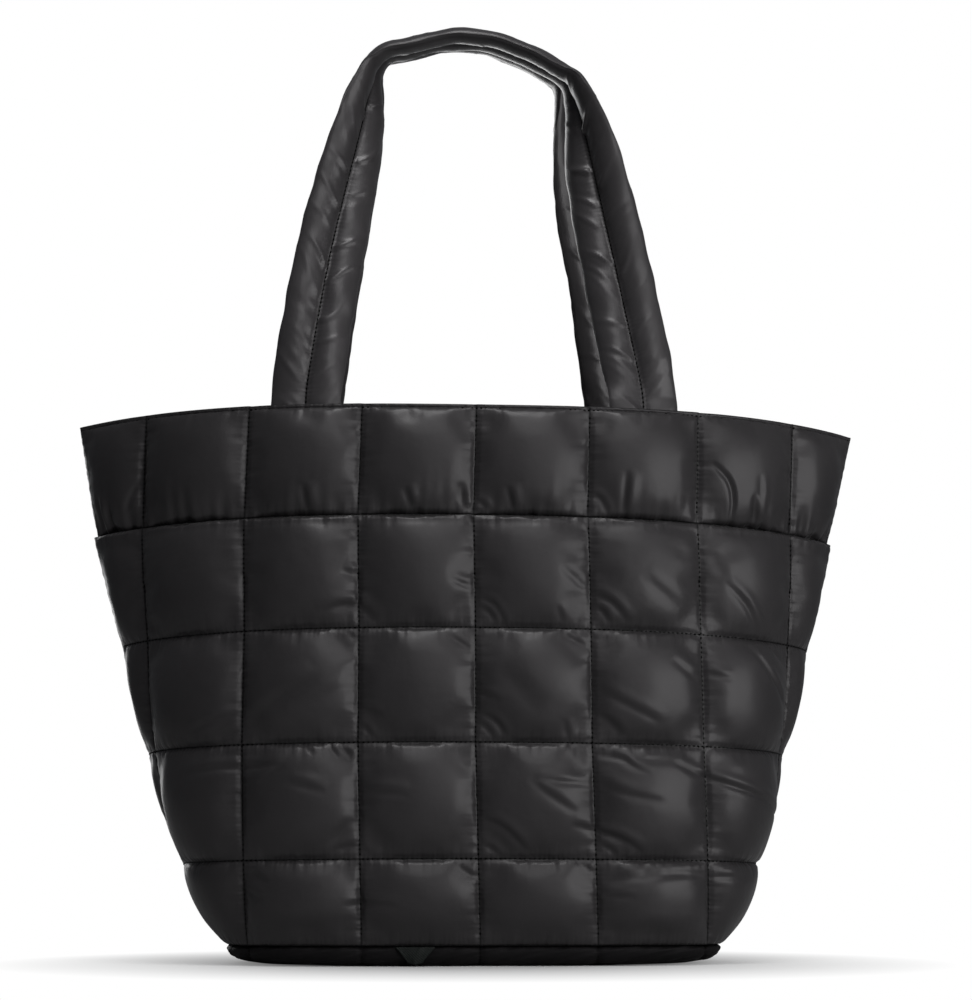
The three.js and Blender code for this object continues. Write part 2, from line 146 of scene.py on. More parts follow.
PANEL_FOLDS = folds_of([
    ((2.4, 1.3, 1.3), [[(-1.34, 3.12), (-1.22, 3.18), (-1.07, 3.2), (-0.94, 3.15), (-0.85, 3.03)]]),
    (RIDGE, [
        [(-1.14, 3.5), (-1.01, 3.44)], [(-1.59, 1.65), (-1.27, 1.57)], [(-0.95, 1.57), (-0.58, 1.54)],
    ]),
    (CREASE, [
        [(-0.22, 3.42), (-0.01, 3.33)], [(0.69, 3.2), (0.76, 3.03)],
        [(-2.47, 2.13), (-2.23, 2.23), (-2.01, 2.26)], [(-2.2, 2.06), (-2.01, 2.14)],
        [(-0.97, 2.27), (-0.79, 2.23)], [(0.02, 2.43), (0.22, 2.34)], [(2, 2.66), (2.25, 2.6)],
        [(2.67, 2.97), (2.86, 2.83)], [(0.75, 2.2), (0.79, 2.02)], [(-1.84, 1.66), (-1.6, 1.79)],
        [(-1.27, 1), (-1.2, 1.09), (-1, 1.11), (-0.89, 1.01)], [(0.49, 1.68), (0.72, 1.65), (0.98, 1.64)],
        [(1.05, 1.9), (1.25, 1.87), (1.33, 1.79), (1.48, 1.73)], [(1.35, 1.86), (1.67, 1.86)],
        [(-1.96, 0.88), (-1.75, 0.72)], [(-1.97, 0.65), (-1.8, 0.52)],
        [(-1.15, 0.46), (-0.99, 0.49), (-0.68, 0.45)], [(2.01, 0.81), (2.37, 0.8)],
        [(1.04, 0.56), (1.31, 0.56)],
    ]),
    (CORNER_CREASE, [
        [(0.01, 3.18), (0.11, 3.15), (0.18, 3.03)], [(0.01, 3.26), (0.17, 3.21), (0.25, 3.02)],
        [(1.01, 3.2), (1.1, 3.17), (1.16, 3.05)], [(-0.99, 2.14), (-0.92, 2.11), (-0.87, 2.02)],
        [(0.02, 2.25), (0.17, 2.19), (0.27, 2.03)], [(0.02, 2.16), (0.1, 2.12), (0.15, 2.02)],
        [(0.02, 1.12), (0.12, 1.09), (0.19, 1)], [(1.01, 1.14), (1.13, 1.09), (1.18, 1.01)],
    ]),
    ((1.8, 1.2, 0.9), [[(1.01, 3.31), (1.18, 3.25), (1.31, 3.07)]]),
    (SLACK_CREASE, [
        [(0.73, 3.54), (0.99, 3.33)], [(1.03, 2.47), (1.29, 2.33), (1.62, 2.17)],
        [(1.02, 2.26), (1.16, 2.18), (1.27, 2.04)], [(1.68, 2.76), (1.97, 2.55)],
        [(0.45, 1.69), (0.53, 1.58), (0.84, 1.39)], [(1.02, 1.67), (1.21, 1.56), (1.6, 1.49)],
    ]),
    ((4, 0.9, 0.8), [[(1.42, 3.48), (1.78, 3.2)]]),
    ((4, 1, 0.6), [[(2.06, 3.76), (2.22, 3.51)]]),
    ((2, 1.3, 0.9), [[(2.2, 3.48), (2.43, 3.27), (2.54, 3.06)]]),
    ((4.5, 1.3, 0.9), [[(-1.95, 2.18), (-1.65, 2.4), (-1.34, 2.55)]]),
    ((5, 0.9, 0.8), [[(-1.57, 2.29), (-1.03, 2.49)]]),
    (FINE_CREASE, [
        [(-0.25, 2.93), (-0.02, 2.79)], [(-1.13, 2.99), (-1.02, 2.89)], [(0.73, 2.96), (0.97, 2.83)],
        [(-1.45, 1.98), (-1.37, 1.89)], [(-1.25, 1.98), (-1.16, 1.86)], [(-1.15, 1.96), (-1.04, 1.86)],
        [(-0.17, 0.91), (-0.02, 0.77)], [(0.82, 0.98), (1, 0.83)],
    ]),
    ((7, 1.2, 0.7), [[(0.18, 2.66), (0.55, 2.26)]]),
    ((1.7, 1.1, 0.9), [[(2.44, 2.94), (2.64, 2.7), (2.87, 2.39)]]),
    ((2, 1.5, 0.7), [[(-2.49, 1.75), (-2.2, 1.8), (-1.97, 1.8), (-1.6, 1.8)]]),
    ((3, 0.6, 0.9), [[(-1.23, 1.04), (-1.17, 1.26), (-0.99, 1.35), (-0.82, 1.28)]]),
    ((1.8, 1.1, 0.8), [[(0.02, 1.35), (0.23, 1.27), (0.44, 1.03)]]),
    (DEEP_CREASE, [
        [(0.79, 1.29), (1.01, 1.24), (1.27, 1.16), (1.41, 1.03)],
        [(1.65, 1.86), (1.96, 1.73), (2.64, 1.54), (2.94, 1.37)],
    ]),
    ((4, 0.8, 0.8), [[(-1.94, 0.18), (-1.12, 0.25)]]),
    ((2.6, 1.2, 0.9), [[(1.06, 0.74), (1.45, 0.82), (1.86, 0.85), (2.01, 0.75)]]),
    ((4, 0.9, 0.7), [[(1.11, 0.16), (1.91, 0.12)]]),
])

# The camera stands where the photograph was taken from
CAMERA_PLACE = Vector((-0.10028, -1.59599, 0.054))
CAMERA_AIM = Vector((0.06887, 0.98490, 0.15884))
CAMERA_LENS = 85.03
CAMERA_SENSOR = 36.0


def add_camera():
    data = bpy.data.cameras.new("photo_camera")
    data.lens = CAMERA_LENS
    data.sensor_width = CAMERA_SENSOR
    camera = bpy.data.objects.new("photo_camera", data)
    bpy.context.scene.collection.objects.link(camera)
    camera.location = CAMERA_PLACE
    camera.rotation_mode = "QUATERNION"
    camera.rotation_quaternion = CAMERA_AIM.to_track_quat("-Z", "Y")
    bpy.context.scene.camera = camera


# The body's shape

def lerp(low, high, share):
    return low + (high - low) * share


def seam_height(index):
    return BASE_SEAM_HEIGHT if index == 0 else RIM_HEIGHT - (HEM - index) * QUILT_ROW


SEAM_HEIGHTS = [seam_height(index) for index in range(HEM + 1)]
Section = namedtuple("Section", "z half_width half_depth sink sink_power sway bow corner")


def section_at(place):
    """The body's section at a place counted in seams, such as 1.5 halfway between seams one and two."""
    below = max(0, min(int(math.floor(place)), HEM - 1))
    share = place - below
    here = Seam(*[lerp(low, high, share) for low, high in zip(SEAMS[below], SEAMS[below + 1])])
    return Section(
        z=lerp(SEAM_HEIGHTS[below], SEAM_HEIGHTS[below + 1], share),
        half_width=lerp(BASE_WIDTH, OPENING_WIDTH, here.flare) / 2,
        half_depth=lerp(BASE_DEPTH, OPENING_DEPTH, here.lean) / 2 + here.belly * BELLY_DEPTH,
        sink=here.sink * CORNER_DROOP,
        sink_power=here.sink_power,
        sway=here.sway * BODY_SWAY,
        bow=here.bow,
        corner=here.corner,
    )


class Outline:
    """Half of the body's outline from above, past the front, measured from the front's middle."""

    steps = 240

    def __init__(self, section, inset_width=0.0, inset_depth=0.0):
        angle = np.linspace(0, math.pi / 2, self.steps + 1)
        self.x = (section.half_width - inset_width) * np.sin(angle) ** (2 / section.bow)
        self.y = (section.half_depth - inset_depth) * np.maximum(np.cos(angle), 0) ** (2 * section.corner)
        self.y[-1] = 0
        lengths = np.hypot(np.diff(self.x), np.diff(self.y))
        self.length = np.concatenate([[0], np.cumsum(lengths)])
        self.half = self.length[-1]
        self.sway = section.sway

    def point(self, along):
        reach = np.minimum(np.abs(along), self.half)
        x = self.sway + np.sign(along) * np.interp(reach, self.length, self.x)
        return np.stack([x, -np.interp(reach, self.length, self.y)], axis=-1)

    def outwards(self, along, reach=0.002):
        ahead = self.point(np.minimum(along + reach, self.half))
        run = ahead - self.point(np.maximum(along - reach, -self.half))
        run /= np.linalg.norm(run, axis=-1, keepdims=True)
        return np.stack([run[..., 1], -run[..., 0]], axis=-1)


def line_places(half):
    """Where the vertical stitch lines lie along the cloth, side seam to side seam."""
    numbers = np.arange(1, SIDE_LINE)
    inner = np.minimum(numbers * QUILT_COLUMN, half - NARROWEST_CELL * (SIDE_LINE - numbers))
    return np.concatenate([[-half], -inner[::-1], [0], inner, [half]])


def roundness(share, power=0.6):
    return np.maximum(0, np.sin(math.pi * share)) ** power


# Plain mesh helpers

def grid_mesh(name, columns, rows):
    """A flat grid of faces, and the column and row number of each of its vertices."""
    bm = bmesh.new()
    bmesh.ops.create_grid(bm, x_segments=columns, y_segments=rows, size=1)
    mesh = bpy.data.meshes.new(name)
    bm.to_mesh(mesh)
    bm.free()
    flat = vertex_places(mesh)
    column = np.rint((flat[:, 0] + 1) / 2 * columns).astype(int)
    row = np.rint((flat[:, 1] + 1) / 2 * rows).astype(int)
    return mesh, column, row


def vertex_places(mesh):
    places = np.empty(len(mesh.vertices) * 3)
    mesh.vertices.foreach_get("co", places)
    return places.reshape(-1, 3)


def move_vertices(mesh, places):
    mesh.vertices.foreach_set("co", np.asarray(places, dtype=float).ravel())
    mesh.update()


def vertex_normals(mesh):
    normals = np.empty(len(mesh.vertices) * 3)
    mesh.vertex_normals.foreach_get("vector", normals)
    return normals.reshape(-1, 3)


def put_values(mesh, name, values):
    layer = mesh.attributes.get(name) or mesh.attributes.new(name, "FLOAT", "POINT")
    layer.data.foreach_set("value", np.asarray(values, dtype=float))


def get_values(mesh, name):
    values = np.empty(len(mesh.vertices))
    mesh.attributes[name].data.foreach_get("value", values)
    return values


def put_uv(mesh, across, up):
    """Writes a UV map whose unit is one metre of cloth."""
    layer = mesh.uv_layers.get("cloth") or mesh.uv_layers.new(name="cloth")
    corners = np.empty(len(mesh.loops), dtype=np.int32)
    mesh.loops.foreach_get("vertex_index", corners)
    layer.data.foreach_set("uv", np.stack([across[corners], up[corners]], axis=-1).ravel())


def new_piece(name, mesh):
    piece = bpy.data.objects.new(name, mesh)
    bpy.context.scene.collection.objects.link(piece)
    return piece


def smooth_shade(mesh):
    mesh.polygons.foreach_set("use_smooth", np.ones(len(mesh.polygons), dtype=bool))


def close_roll(mesh):
    """Joins the meeting edges of a rolled up grid and closes its two ends."""
    bm = bmesh.new()
    bm.from_mesh(mesh)
    bmesh.ops.remove_doubles(bm, verts=bm.verts, dist=1e-6)
    rims = [edge for edge in bm.edges if edge.is_boundary]
    caps = bmesh.ops.holes_fill(bm, edges=rims, sides=0)["faces"]
    bmesh.ops.poke(bm, faces=caps)
    bmesh.ops.recalc_face_normals(bm, faces=bm.faces)
    bm.to_mesh(mesh)
    bm.free()


def wave_noise(places, lengths, seed):
    """Smooth noise from -1 to 1 along one line: a sum of waves of those lengths with seeded phases."""
    draws = np.random.default_rng(seed)
    total = np.zeros_like(places)
    for length in lengths:
        phase, drift = draws.uniform(0, 2 * math.pi, 2)
        bend = 0.9 * np.sin(places / (2.7 * length) + drift)
        total += np.sin(2 * math.pi * places / length + phase + bend)
    return total / len(lengths)


# Cloth

CLOTH_FRAMES = 20
CLOTH_PRESSURE = 2.0
SPARE_CLOTH = 0.02
MOST_FILLING = 0.0018


def fill_out(piece, held):
    """Blows filling into the cloth between the held vertices. The spare cloth gathers along the stitching,
    and no vertex moves further than MOST_FILLING."""
    group = piece.vertex_groups.new(name="held")
    group.add([int(index) for index in np.flatnonzero(held)], 1.0, "REPLACE")
    before = vertex_places(piece.data)
    cloth = piece.modifiers.new("cloth", "CLOTH")
    settings = cloth.settings
    settings.vertex_group_mass = "held"
    settings.quality = 5
    settings.mass = 0.12
    settings.tension_stiffness = 12
    settings.compression_stiffness = 12
    settings.shear_stiffness = 4
    settings.bending_stiffness = 0.8
    settings.use_pressure = True
    settings.uniform_pressure_force = CLOTH_PRESSURE
    settings.shrink_min = -SPARE_CLOTH
    settings.effector_weights.gravity = 0
    cloth.point_cache.frame_start = 1
    cloth.point_cache.frame_end = CLOTH_FRAMES
    scene = bpy.context.scene
    for number in range(1, CLOTH_FRAMES + 1):
        scene.frame_set(number)
    graph = bpy.context.evaluated_depsgraph_get()
    moved = vertex_places(piece.evaluated_get(graph).data) - before
    piece.modifiers.remove(cloth)
    scene.frame_set(1)
    length = np.linalg.norm(moved, axis=1, keepdims=True)
    eased = MOST_FILLING * np.tanh(length / MOST_FILLING) / np.maximum(length, 1e-9)
    move_vertices(piece.data, before + moved * eased)
    piece.vertex_groups.clear()


# Folds and puckers

def rounded_path(path, rounds=2):
    """Cuts a path's corners, so that it runs smoothly."""
    points = np.array(path, dtype=float)
    for _ in range(rounds):
        near = lerp(points[:-1], points[1:], 0.25)
        far = lerp(points[:-1], points[1:], 0.75)
        middle = np.stack([near, far], axis=1).reshape(-1, 2)
        points = np.concatenate([points[:1], middle[1:-1], points[-1:]])
    return points


def on_cloth(column, row):
    """The place in metres of cloth of one (column, row)."""
    outline = Outline(section_at(row))
    along = np.interp(column, LINES, line_places(outline.half))
    return along, np.interp(row, range(HEM + 1), SEAM_HEIGHTS)


def path_distance(along, up, points):
    """Signed distance of each place to a path, and the share of the path at its nearest point."""
    runs = np.diff(points, axis=0)
    lengths = np.linalg.norm(runs, axis=1)
    ends = np.concatenate([[0], np.cumsum(lengths)])
    best = np.full(along.shape, np.inf)
    signed = np.zeros_like(along)
    share = np.zeros_like(along)
    for start, run, length, begun in zip(points, runs, lengths, ends):
        across = along - start[0]
        rise = up - start[1]
        place = np.clip((across * run[0] + rise * run[1]) / length**2, 0, 1)
        gap = np.hypot(across - place * run[0], rise - place * run[1])
        side = np.sign(run[0] * rise - run[1] * across)
        nearer = gap < best
        best = np.where(nearer, gap, best)
        signed = np.where(nearer, side * gap, signed)
        share = np.where(nearer, (begun + place * length) / ends[-1], share)
    return signed, share


def fold_push(along, up, folds):
    """How far the folds push the cloth out, in metres."""
    push = np.zeros_like(along)
    for fold in folds:
        points = rounded_path([on_cloth(*place) for place in fold.path])
        width = fold.width * MILLIMETRE
        reach = 5 * width
        low = points.min(axis=0) - reach
        high = points.max(axis=0) + reach
        close = (along > low[0]) & (along < high[0]) & (up > low[1]) & (up < high[1])
        if not close.any():
            continue
        away, share = path_distance(along[close], up[close], points)
        away = away / width
        taper = roundness(share, 0.7)
        ridges = np.exp(-(((away - 2.1) / 1.7) ** 2)) + 0.2 * np.exp(-(((away + 2.4) / 1.9) ** 2))
        push[close] += fold.depth * FOLD_DEPTH * taper * (fold.lift * ridges - np.exp(-(away**2)))
    return push


PUCKER_HEIGHT = 0.00042
PUCKER_START = 0.0012
PUCKER_WAVES = [0.0062, 0.0085, 0.0125]
STITCHED_FLAT = 0.0016
# The creases beside the upright and beside the level stitching: how far they reach, how much and over what
# lengths that varies, and the numbers that give each line draws of its own.
Beside = namedtuple("Beside", "reach vary lengths first wave_step reach_step")
BESIDE_LINES = Beside(0.0062, 0.0028, [0.021, 0.034], 9, 31, 7)
BESIDE_SEAMS = Beside(0.0058, 0.0026, [0.023, 0.037], 3, 53, 5)


def pucker_push(kind, run, distance, nearest, past, seed):
    """Short creases that run away from one set of stitch lines, on both sides of each."""
    push = np.zeros_like(run)
    for line in np.unique(nearest):
        for side in (False, True):
            here = (nearest == line) & (past == side)
            number = int(line + kind.first)
            waves = wave_noise(run[here], PUCKER_WAVES, seed + kind.wave_step * number + side)
            vary = wave_noise(run[here], kind.lengths, seed + kind.reach_step * number + side)
            fade = np.exp(-((distance[here] / (kind.reach + kind.vary * vary)) ** 1.5))
            push[here] = PUCKER_HEIGHT * waves * fade * np.minimum(1, distance[here] / PUCKER_START)
    return push


def scattered_folds(first, last, seed):
    """Folds like the front's for the back: crescents round the squares' lower corners, and short creases
    under their upper corners."""
    draws = np.random.default_rng(seed)
    folds = []
    for row in range(first, last):
        for line in range(-3, 4):
            radius = draws.uniform(0.12, 0.36)
            lean = draws.uniform(-0.04, 0.04)
            arc = [(line + 0.02, row + radius), (line + 0.7 * radius, row + 0.75 * radius + lean)]
            arc.append((line + radius, row + 0.04))
            folds.append(Fold(draws.uniform(1.5, 2.2), draws.uniform(0.6, 1.2), 0.9, arc))
            reach = draws.uniform(0.12, 0.25)
            crease = [(line - reach, row + 0.97), (line - 0.03, row + 0.97 - reach)]
            folds.append(Fold(draws.uniform(1.3, 1.9), draws.uniform(0.5, 0.9), 0.9, crease))
            if draws.random() < 0.5:
                start = draws.uniform(0.2, 0.5, 2)
                turn = draws.uniform(0.15, 0.4, 2)
                slope = [(line + start[0], row + start[1] + turn[1])]
                slope.append((line + start[0] + turn[0], row + start[1]))
                folds.append(Fold(draws.uniform(2.4, 4.5), draws.uniform(0.6, 1.1), 0.8, slope))
    return folds


# The quilted walls

CELL_STEPS = 28
SIDE_CELL_STEPS = 18
ROW_STEPS = 27
LINING_STEPS = 5
LIP_HEIGHT = 0.0042
ROLLED_EDGE = 0.045
HEM_STITCH = 0.035
HEM_BEAD = 0.0011
EDGE_ROWS = [0.034, 0.024, 0.015, 0.008, 0.003]


def column_stations(cell_steps, side_steps):
    """The columns of a grid, counted in stitch lines, from one side seam to the other."""
    stations = []
    for line in LINES[:-1]:
        steps = side_steps if line in (-SIDE_LINE, SIDE_LINE - 1) else cell_steps
        stations.extend(line + np.arange(steps) / steps)
    return np.array(stations + [SIDE_LINE])


def row_stations(first, last, row_steps):
    """The rows of a grid, counted in seams."""
    stations = []
    for seam in range(first, last):
        steps = round(row_steps * (SEAM_HEIGHTS[seam + 1] - SEAM_HEIGHTS[seam]) / QUILT_ROW)
        stations.extend(seam + np.arange(steps) / steps)
    return np.array(stations + [last])


def with_edge_rows(rows):
    """The same rows with closer ones at the top edge, which turns over."""
    last = rows[-1]
    kept = [place for place in rows if place < last - ROLLED_EDGE - 0.01]
    edge = [last - ROLLED_EDGE] + [last - drop for drop in EDGE_ROWS]
    return np.array(kept + edge + [last])


def swell_up(row, last):
    """Fullness of the puffs at a row, and the height that the top edge keeps there."""
    share = row - math.floor(row)
    if row >= last - 1 and last == HEM:
        stitch = 1 - HEM_STITCH
        if share > stitch or row == last:
            rise = 1.0 if row == last else (share - stitch) / HEM_STITCH
            return 0.0, HEM_BEAD * float(roundness(rise, 0.5))
        return float(roundness(share / stitch, 0.45)), 0.0
    if row >= last - 0.5:
        below = last - row
        turned = max(0.0, 1 - below / ROLLED_EDGE)
        return float(roundness(share, 0.45)) if row < last else 0.0, LIP_HEIGHT * math.sqrt(1 - turned**2)
    return float(roundness(share)), 0.0


def wall_places(columns, rows, side, tuck, lining=False):
    """The outer or inner face of a wall over a grid of columns and rows: its places and lengths along."""
    first, last = rows[0], rows[-1]
    places = np.empty((len(rows), len(columns), 3))
    along = np.empty((len(rows), len(columns)))
    cell = np.clip(np.floor(columns).astype(int) + SIDE_LINE, 0, 2 * SIDE_LINE - 1)
    across = roundness(columns - np.floor(columns))
    for index, row in enumerate(rows):
        section = section_at(row)
        tucked = tuck * max(0.0, 1 - (row - first))
        outer = Outline(section, tucked, tucked)
        lines = line_places(outer.half)
        reach = np.interp(columns, LINES, lines)
        room = np.minimum(1, (lines[cell + 1] - lines[cell]) / QUILT_COLUMN) ** 0.7
        up, edge = swell_up(row, last)
        if lining:
            inner = Outline(section, tucked + SIDE_WALL, tucked + STITCHED_WALL)
            inside = reach / outer.half * inner.half
            push = -LINING_PUFF * room * across * up
            flat = inner.point(inside) + inner.outwards(inside) * push[:, None]
        else:
            push = np.maximum(PUFF_HEIGHT * room * across * up, edge * np.maximum(across, 0.25))
            push *= np.where(np.abs(columns) == SIDE_LINE, 0, 1)
            flat = outer.point(reach) + outer.outwards(reach) * push[:, None]
        trim = {first: GAP / 2, last: -GAP / 2}.get(row, 0.0) if row == BAND_SEAM else 0.0
        places[index, :, 0] = flat[:, 0]
        clear = np.where(np.abs(columns) == SIDE_LINE, 0, GAP / 2)
        droop = section.sink * np.abs(reach / outer.half) ** section.sink_power
        places[index, :, 1] = -side * (flat[:, 1] - clear)
        places[index, :, 2] = section.z + trim - droop
        along[index] = reach
    return places, along


def face_grid(name, columns, rows, side, places):
    """A mesh of that grid whose faces point to that side of the bag, and each vertex's column and row."""
    mesh, column, row = grid_mesh(name, len(columns) - 1, len(rows) - 1)
    if side > 0:
        column = len(columns) - 1 - column
    move_vertices(mesh, places[row, column])
    return mesh, column, row


def cloth_facts(mesh, columns, rows, along, column, row):
    """Writes each vertex's place on the cloth, which the folds, the stitching and the finish follow."""
    up = np.interp(rows, range(HEM + 1), SEAM_HEIGHTS)
    put_values(mesh, "column", columns[column])
    put_values(mesh, "row", rows[row])
    put_values(mesh, "along", along[row, column])
    put_values(mesh, "up", up[row])
    put_uv(mesh, along[row, column], up[row])


def line_distances(mesh):
    """Each vertex's place, and its distances to and sides of the nearest upright and level stitching."""
    column = get_values(mesh, "column")
    row = get_values(mesh, "row")
    along = get_values(mesh, "along")
    up = get_values(mesh, "up")
    nearest_line = np.rint(column)
    nearest_seam = np.rint(row)
    half = np.interp(row, range(HEM + 1), [Outline(section_at(index)).half for index in range(HEM + 1)])
    line_along = np.sign(nearest_line) * np.minimum(
        np.abs(nearest_line) * QUILT_COLUMN, half - NARROWEST_CELL * (SIDE_LINE - np.abs(nearest_line))
    )
    off = np.abs(along - line_along)
    rise = np.abs(up - np.interp(nearest_seam, range(HEM + 1), SEAM_HEIGHTS))
    return along, up, off, rise, nearest_line, nearest_seam, column > nearest_line, row > nearest_seam


def crumple(mesh, folds, seed):
    """Presses the folds and puckers into a wall's outer face."""
    along, up, off, rise, line, seam, beyond, above = line_distances(mesh)
    push = fold_push(along, up, folds)
    push *= 1 - np.exp(-((np.minimum(off, rise) / STITCHED_FLAT) ** 2))
    push += pucker_push(BESIDE_LINES, up, off, line, beyond, seed)
    push += pucker_push(BESIDE_SEAMS, along, rise, seam, above, seed)
    move_vertices(mesh, vertex_places(mesh) + vertex_normals(mesh) * push[:, None])
    put_values(mesh, "line_off", off)
    put_values(mesh, "line_rise", rise)


GATHER_WAVES = [0.0085, 0.0125, 0.019, 0.03]
GATHER_DEPTH = 0.001
GATHER_SIDE_DEPTH = 0.0016
GATHER_HOLLOW = 0.0008


def gather(mesh, first, seed):
    """Draws the lower edge of the top band into soft upright folds of uneven height."""
    along = get_values(mesh, "along")
    row = get_values(mesh, "row")
    column = get_values(mesh, "column")
    waves = wave_noise(along, GATHER_WAVES, seed)
    reach = 0.17 + 0.13 * wave_noise(along, [0.045, 0.08], seed + 1)
    sides = np.clip((np.abs(column) - 2) / 1.2, 0, 1)
    depth = GATHER_DEPTH + GATHER_SIDE_DEPTH * sides
    held = np.minimum(1, np.abs(column - np.rint(column)) / 0.05)
    push = depth * (waves - 0.35) * np.exp(-(((row - first) / reach) ** 2)) * held
    hollow = GATHER_HOLLOW * sides * np.exp(-(((row - first) / 0.12) ** 2))
    move_vertices(mesh, vertex_places(mesh) + vertex_normals(mesh) * (push - hollow)[:, None])


def close_wall(piece, first, last, side, tuck):
    """Adds the wall's inner face and joins it to the outer one round all four edges."""
    columns = column_stations(LINING_STEPS, LINING_STEPS)
    rows = row_stations(first, last, LINING_STEPS)
    places, along = wall_places(columns, rows, side, tuck, lining=True)
    lining, column, row = face_grid("lining", columns, rows, side, places)
    cloth_facts(lining, columns, rows, along, column, row)
    put_values(lining, "line_off", np.full(len(lining.vertices), QUILT_COLUMN / 2))
    put_values(lining, "line_rise", np.full(len(lining.vertices), QUILT_ROW / 2))
    lining.flip_normals()
    bm = bmesh.new()
    bm.from_mesh(piece.data)
    bm.from_mesh(lining)
    rims = [edge for edge in bm.edges if edge.is_boundary]
    bmesh.ops.bridge_loops(bm, edges=rims)
    bmesh.ops.recalc_face_normals(bm, faces=bm.faces)
    bm.to_mesh(piece.data)
    bm.free()
    bpy.data.meshes.remove(lining)


def halved(values):
    """The same stations with one more halfway between each two."""
    return np.interp(np.arange(2 * len(values) - 1) / 2, np.arange(len(values)), values)


def finer(places):
    """The same surface over a grid of half the pitch, through the same points, curved between them."""
    for _ in range(2):
        wide = places.reshape(len(places), -1)
        longer = finer_line(wide)
        places = longer.reshape((len(longer),) + places.shape[1:]).swapaxes(0, 1)
    return places


def eased_out(moves, held, rounds=3):
    """The same moves over a grid, evened out with their neighbours', and none where the cloth is held."""
    for _ in range(rounds):
        for _ in range(2):
            wide = np.concatenate([moves[:1], moves, moves[-1:]])
            moves = (0.25 * (wide[:-2] + wide[2:]) + 0.5 * moves).swapaxes(0, 1)
        moves[held] = 0
    return moves


def quilted_wall(name, first, last, side, folds, seed, cell_steps, row_steps):
    """A half of the body between two seams, filled, puckered and closed."""
    tuck = BAND_TUCK if first == BAND_SEAM else 0.0
    columns = column_stations(cell_steps, round(cell_steps * SIDE_CELL_STEPS / CELL_STEPS))
    rows = with_edge_rows(row_stations(first, last, row_steps))
    places, along = wall_places(columns, rows, side, tuck)
    mesh, column, row = face_grid("cloth", columns, rows, side, places)
    cloth = new_piece("cloth", mesh)
    on_line = columns[column] == np.rint(columns[column])
    on_seam = (rows[row] == np.rint(rows[row])) | (last == HEM) & (rows[row] >= last - ROLLED_EDGE)
    fill_out(cloth, on_line | on_seam)
    filled = np.zeros_like(places)
    filled[row, column] = vertex_places(mesh) - places[row, column]
    held = np.zeros(filled.shape[:2], dtype=bool)
    held[row, column] = on_line | on_seam
    places += eased_out(filled, held)
    bpy.data.objects.remove(cloth)
    columns, rows, places, along = halved(columns), halved(rows), finer(places), finer(along)
    mesh, column, row = face_grid(name, columns, rows, side, places)
    cloth_facts(mesh, columns, rows, along, column, row)
    piece = new_piece(name, mesh)
    if tuck:
        gather(mesh, first, seed + 400)
    crumple(mesh, folds, seed)
    close_wall(piece, first, last, side, tuck)
    smooth_shade(mesh)
    return piece


# The base

BASE_SIDE_STEPS = 260
# Height, inset and lift, as shares of the base's thickness, its edge's rounding and its rim's lift
BASE_LEVELS = [
    (1.0, 1.1, 0.0),
    (1.0, 0.35, 0.0),
    (0.9, 0.08, 0.1),
    (0.75, 0.0, 0.3),
    (0.58, 0.03, 0.5),
    (0.4, 0.12, 0.8),
    (0.25, 0.28, 0.9),
    (0.12, 0.5, 1.0),
    (0.04, 0.75, 1.0),
    (0.0, 1.0, 1.0),
    (0.0, 1.7, 0.55),
    (0.0, 2.5, 0.2),
    (0.0, 3.4, 0.0),
]
BASE_GROOVE = 0.0011
BASE_WAVE = 0.00035
BASE_FOLD = 0.0003
BASE_GIRTH = 0.9
BASE_LEVEL_PITCH = 0.004
BASE_SEAM_WIDTH = 0.0016
BASE_SEAM_SLOPE = 0.006
BASE_PIPING_LEVEL = 1.2
BASE_PIPING_PITCH = 0.003


def base_ring(inset, lift, height):
    """One ring round the base, from the left side seam past the front and back again."""
    section = section_at(0)
    outline = Outline(section, inset, inset)
    share = np.arange(BASE_SIDE_STEPS) / BASE_SIDE_STEPS
    along = lerp(-outline.half, outline.half, share)
    front = outline.point(along)
    back = outline.point(-along) * [1, -1]
    flat = np.concatenate([front, back])
    round_along = np.concatenate([along, -along])
    curl = lift * BASE_RIM_LIFT * np.abs((flat[:, 0] - section.sway) / section.half_width) ** 3
    return np.column_stack([flat, height * BASE_THICKNESS + curl]), round_along


def finer_line(points):
    """The same line with one more point between each two, curved between them."""
    padded = np.concatenate([2 * points[:1] - points[1:2], points, 2 * points[-1:] - points[-2:-1]])
    merged = np.empty((2 * len(points) - 1, points.shape[1]))
    merged[0::2] = points
    merged[1::2] = (9 * (points[:-1] + points[1:]) - padded[:-3] - padded[3:]) / 16
    return merged


def make_base():
    ring_length = 2 * BASE_SIDE_STEPS
    levels = halved(np.arange(len(BASE_LEVELS), dtype=float))
    mesh, column, row = grid_mesh("base_padded", ring_length, len(levels) - 1)
    places = np.empty((len(levels), ring_length + 1, 3))
    along = np.empty((len(levels), ring_length + 1))
    smooth_levels = finer_line(np.array(BASE_LEVELS))
    for index, (height, inset, lift) in enumerate(smooth_levels):
        ring, reach = base_ring(inset * BASE_EDGE_ROUND, lift, height)
        places[index] = np.concatenate([ring, ring[:1]])
        along[index] = np.append(reach, reach[0])
    level = len(levels) - 1 - row
    move_vertices(mesh, places[level, column])
    put_values(mesh, "along", along[level, column])
    put_values(mesh, "level", levels[level])
    put_uv(mesh, column / ring_length * BASE_GIRTH, levels[level] * BASE_LEVEL_PITCH)
    piece = new_piece("base_padded", mesh)
    close_roll(mesh)
    crease_base(mesh)
    smooth_shade(mesh)
    return piece


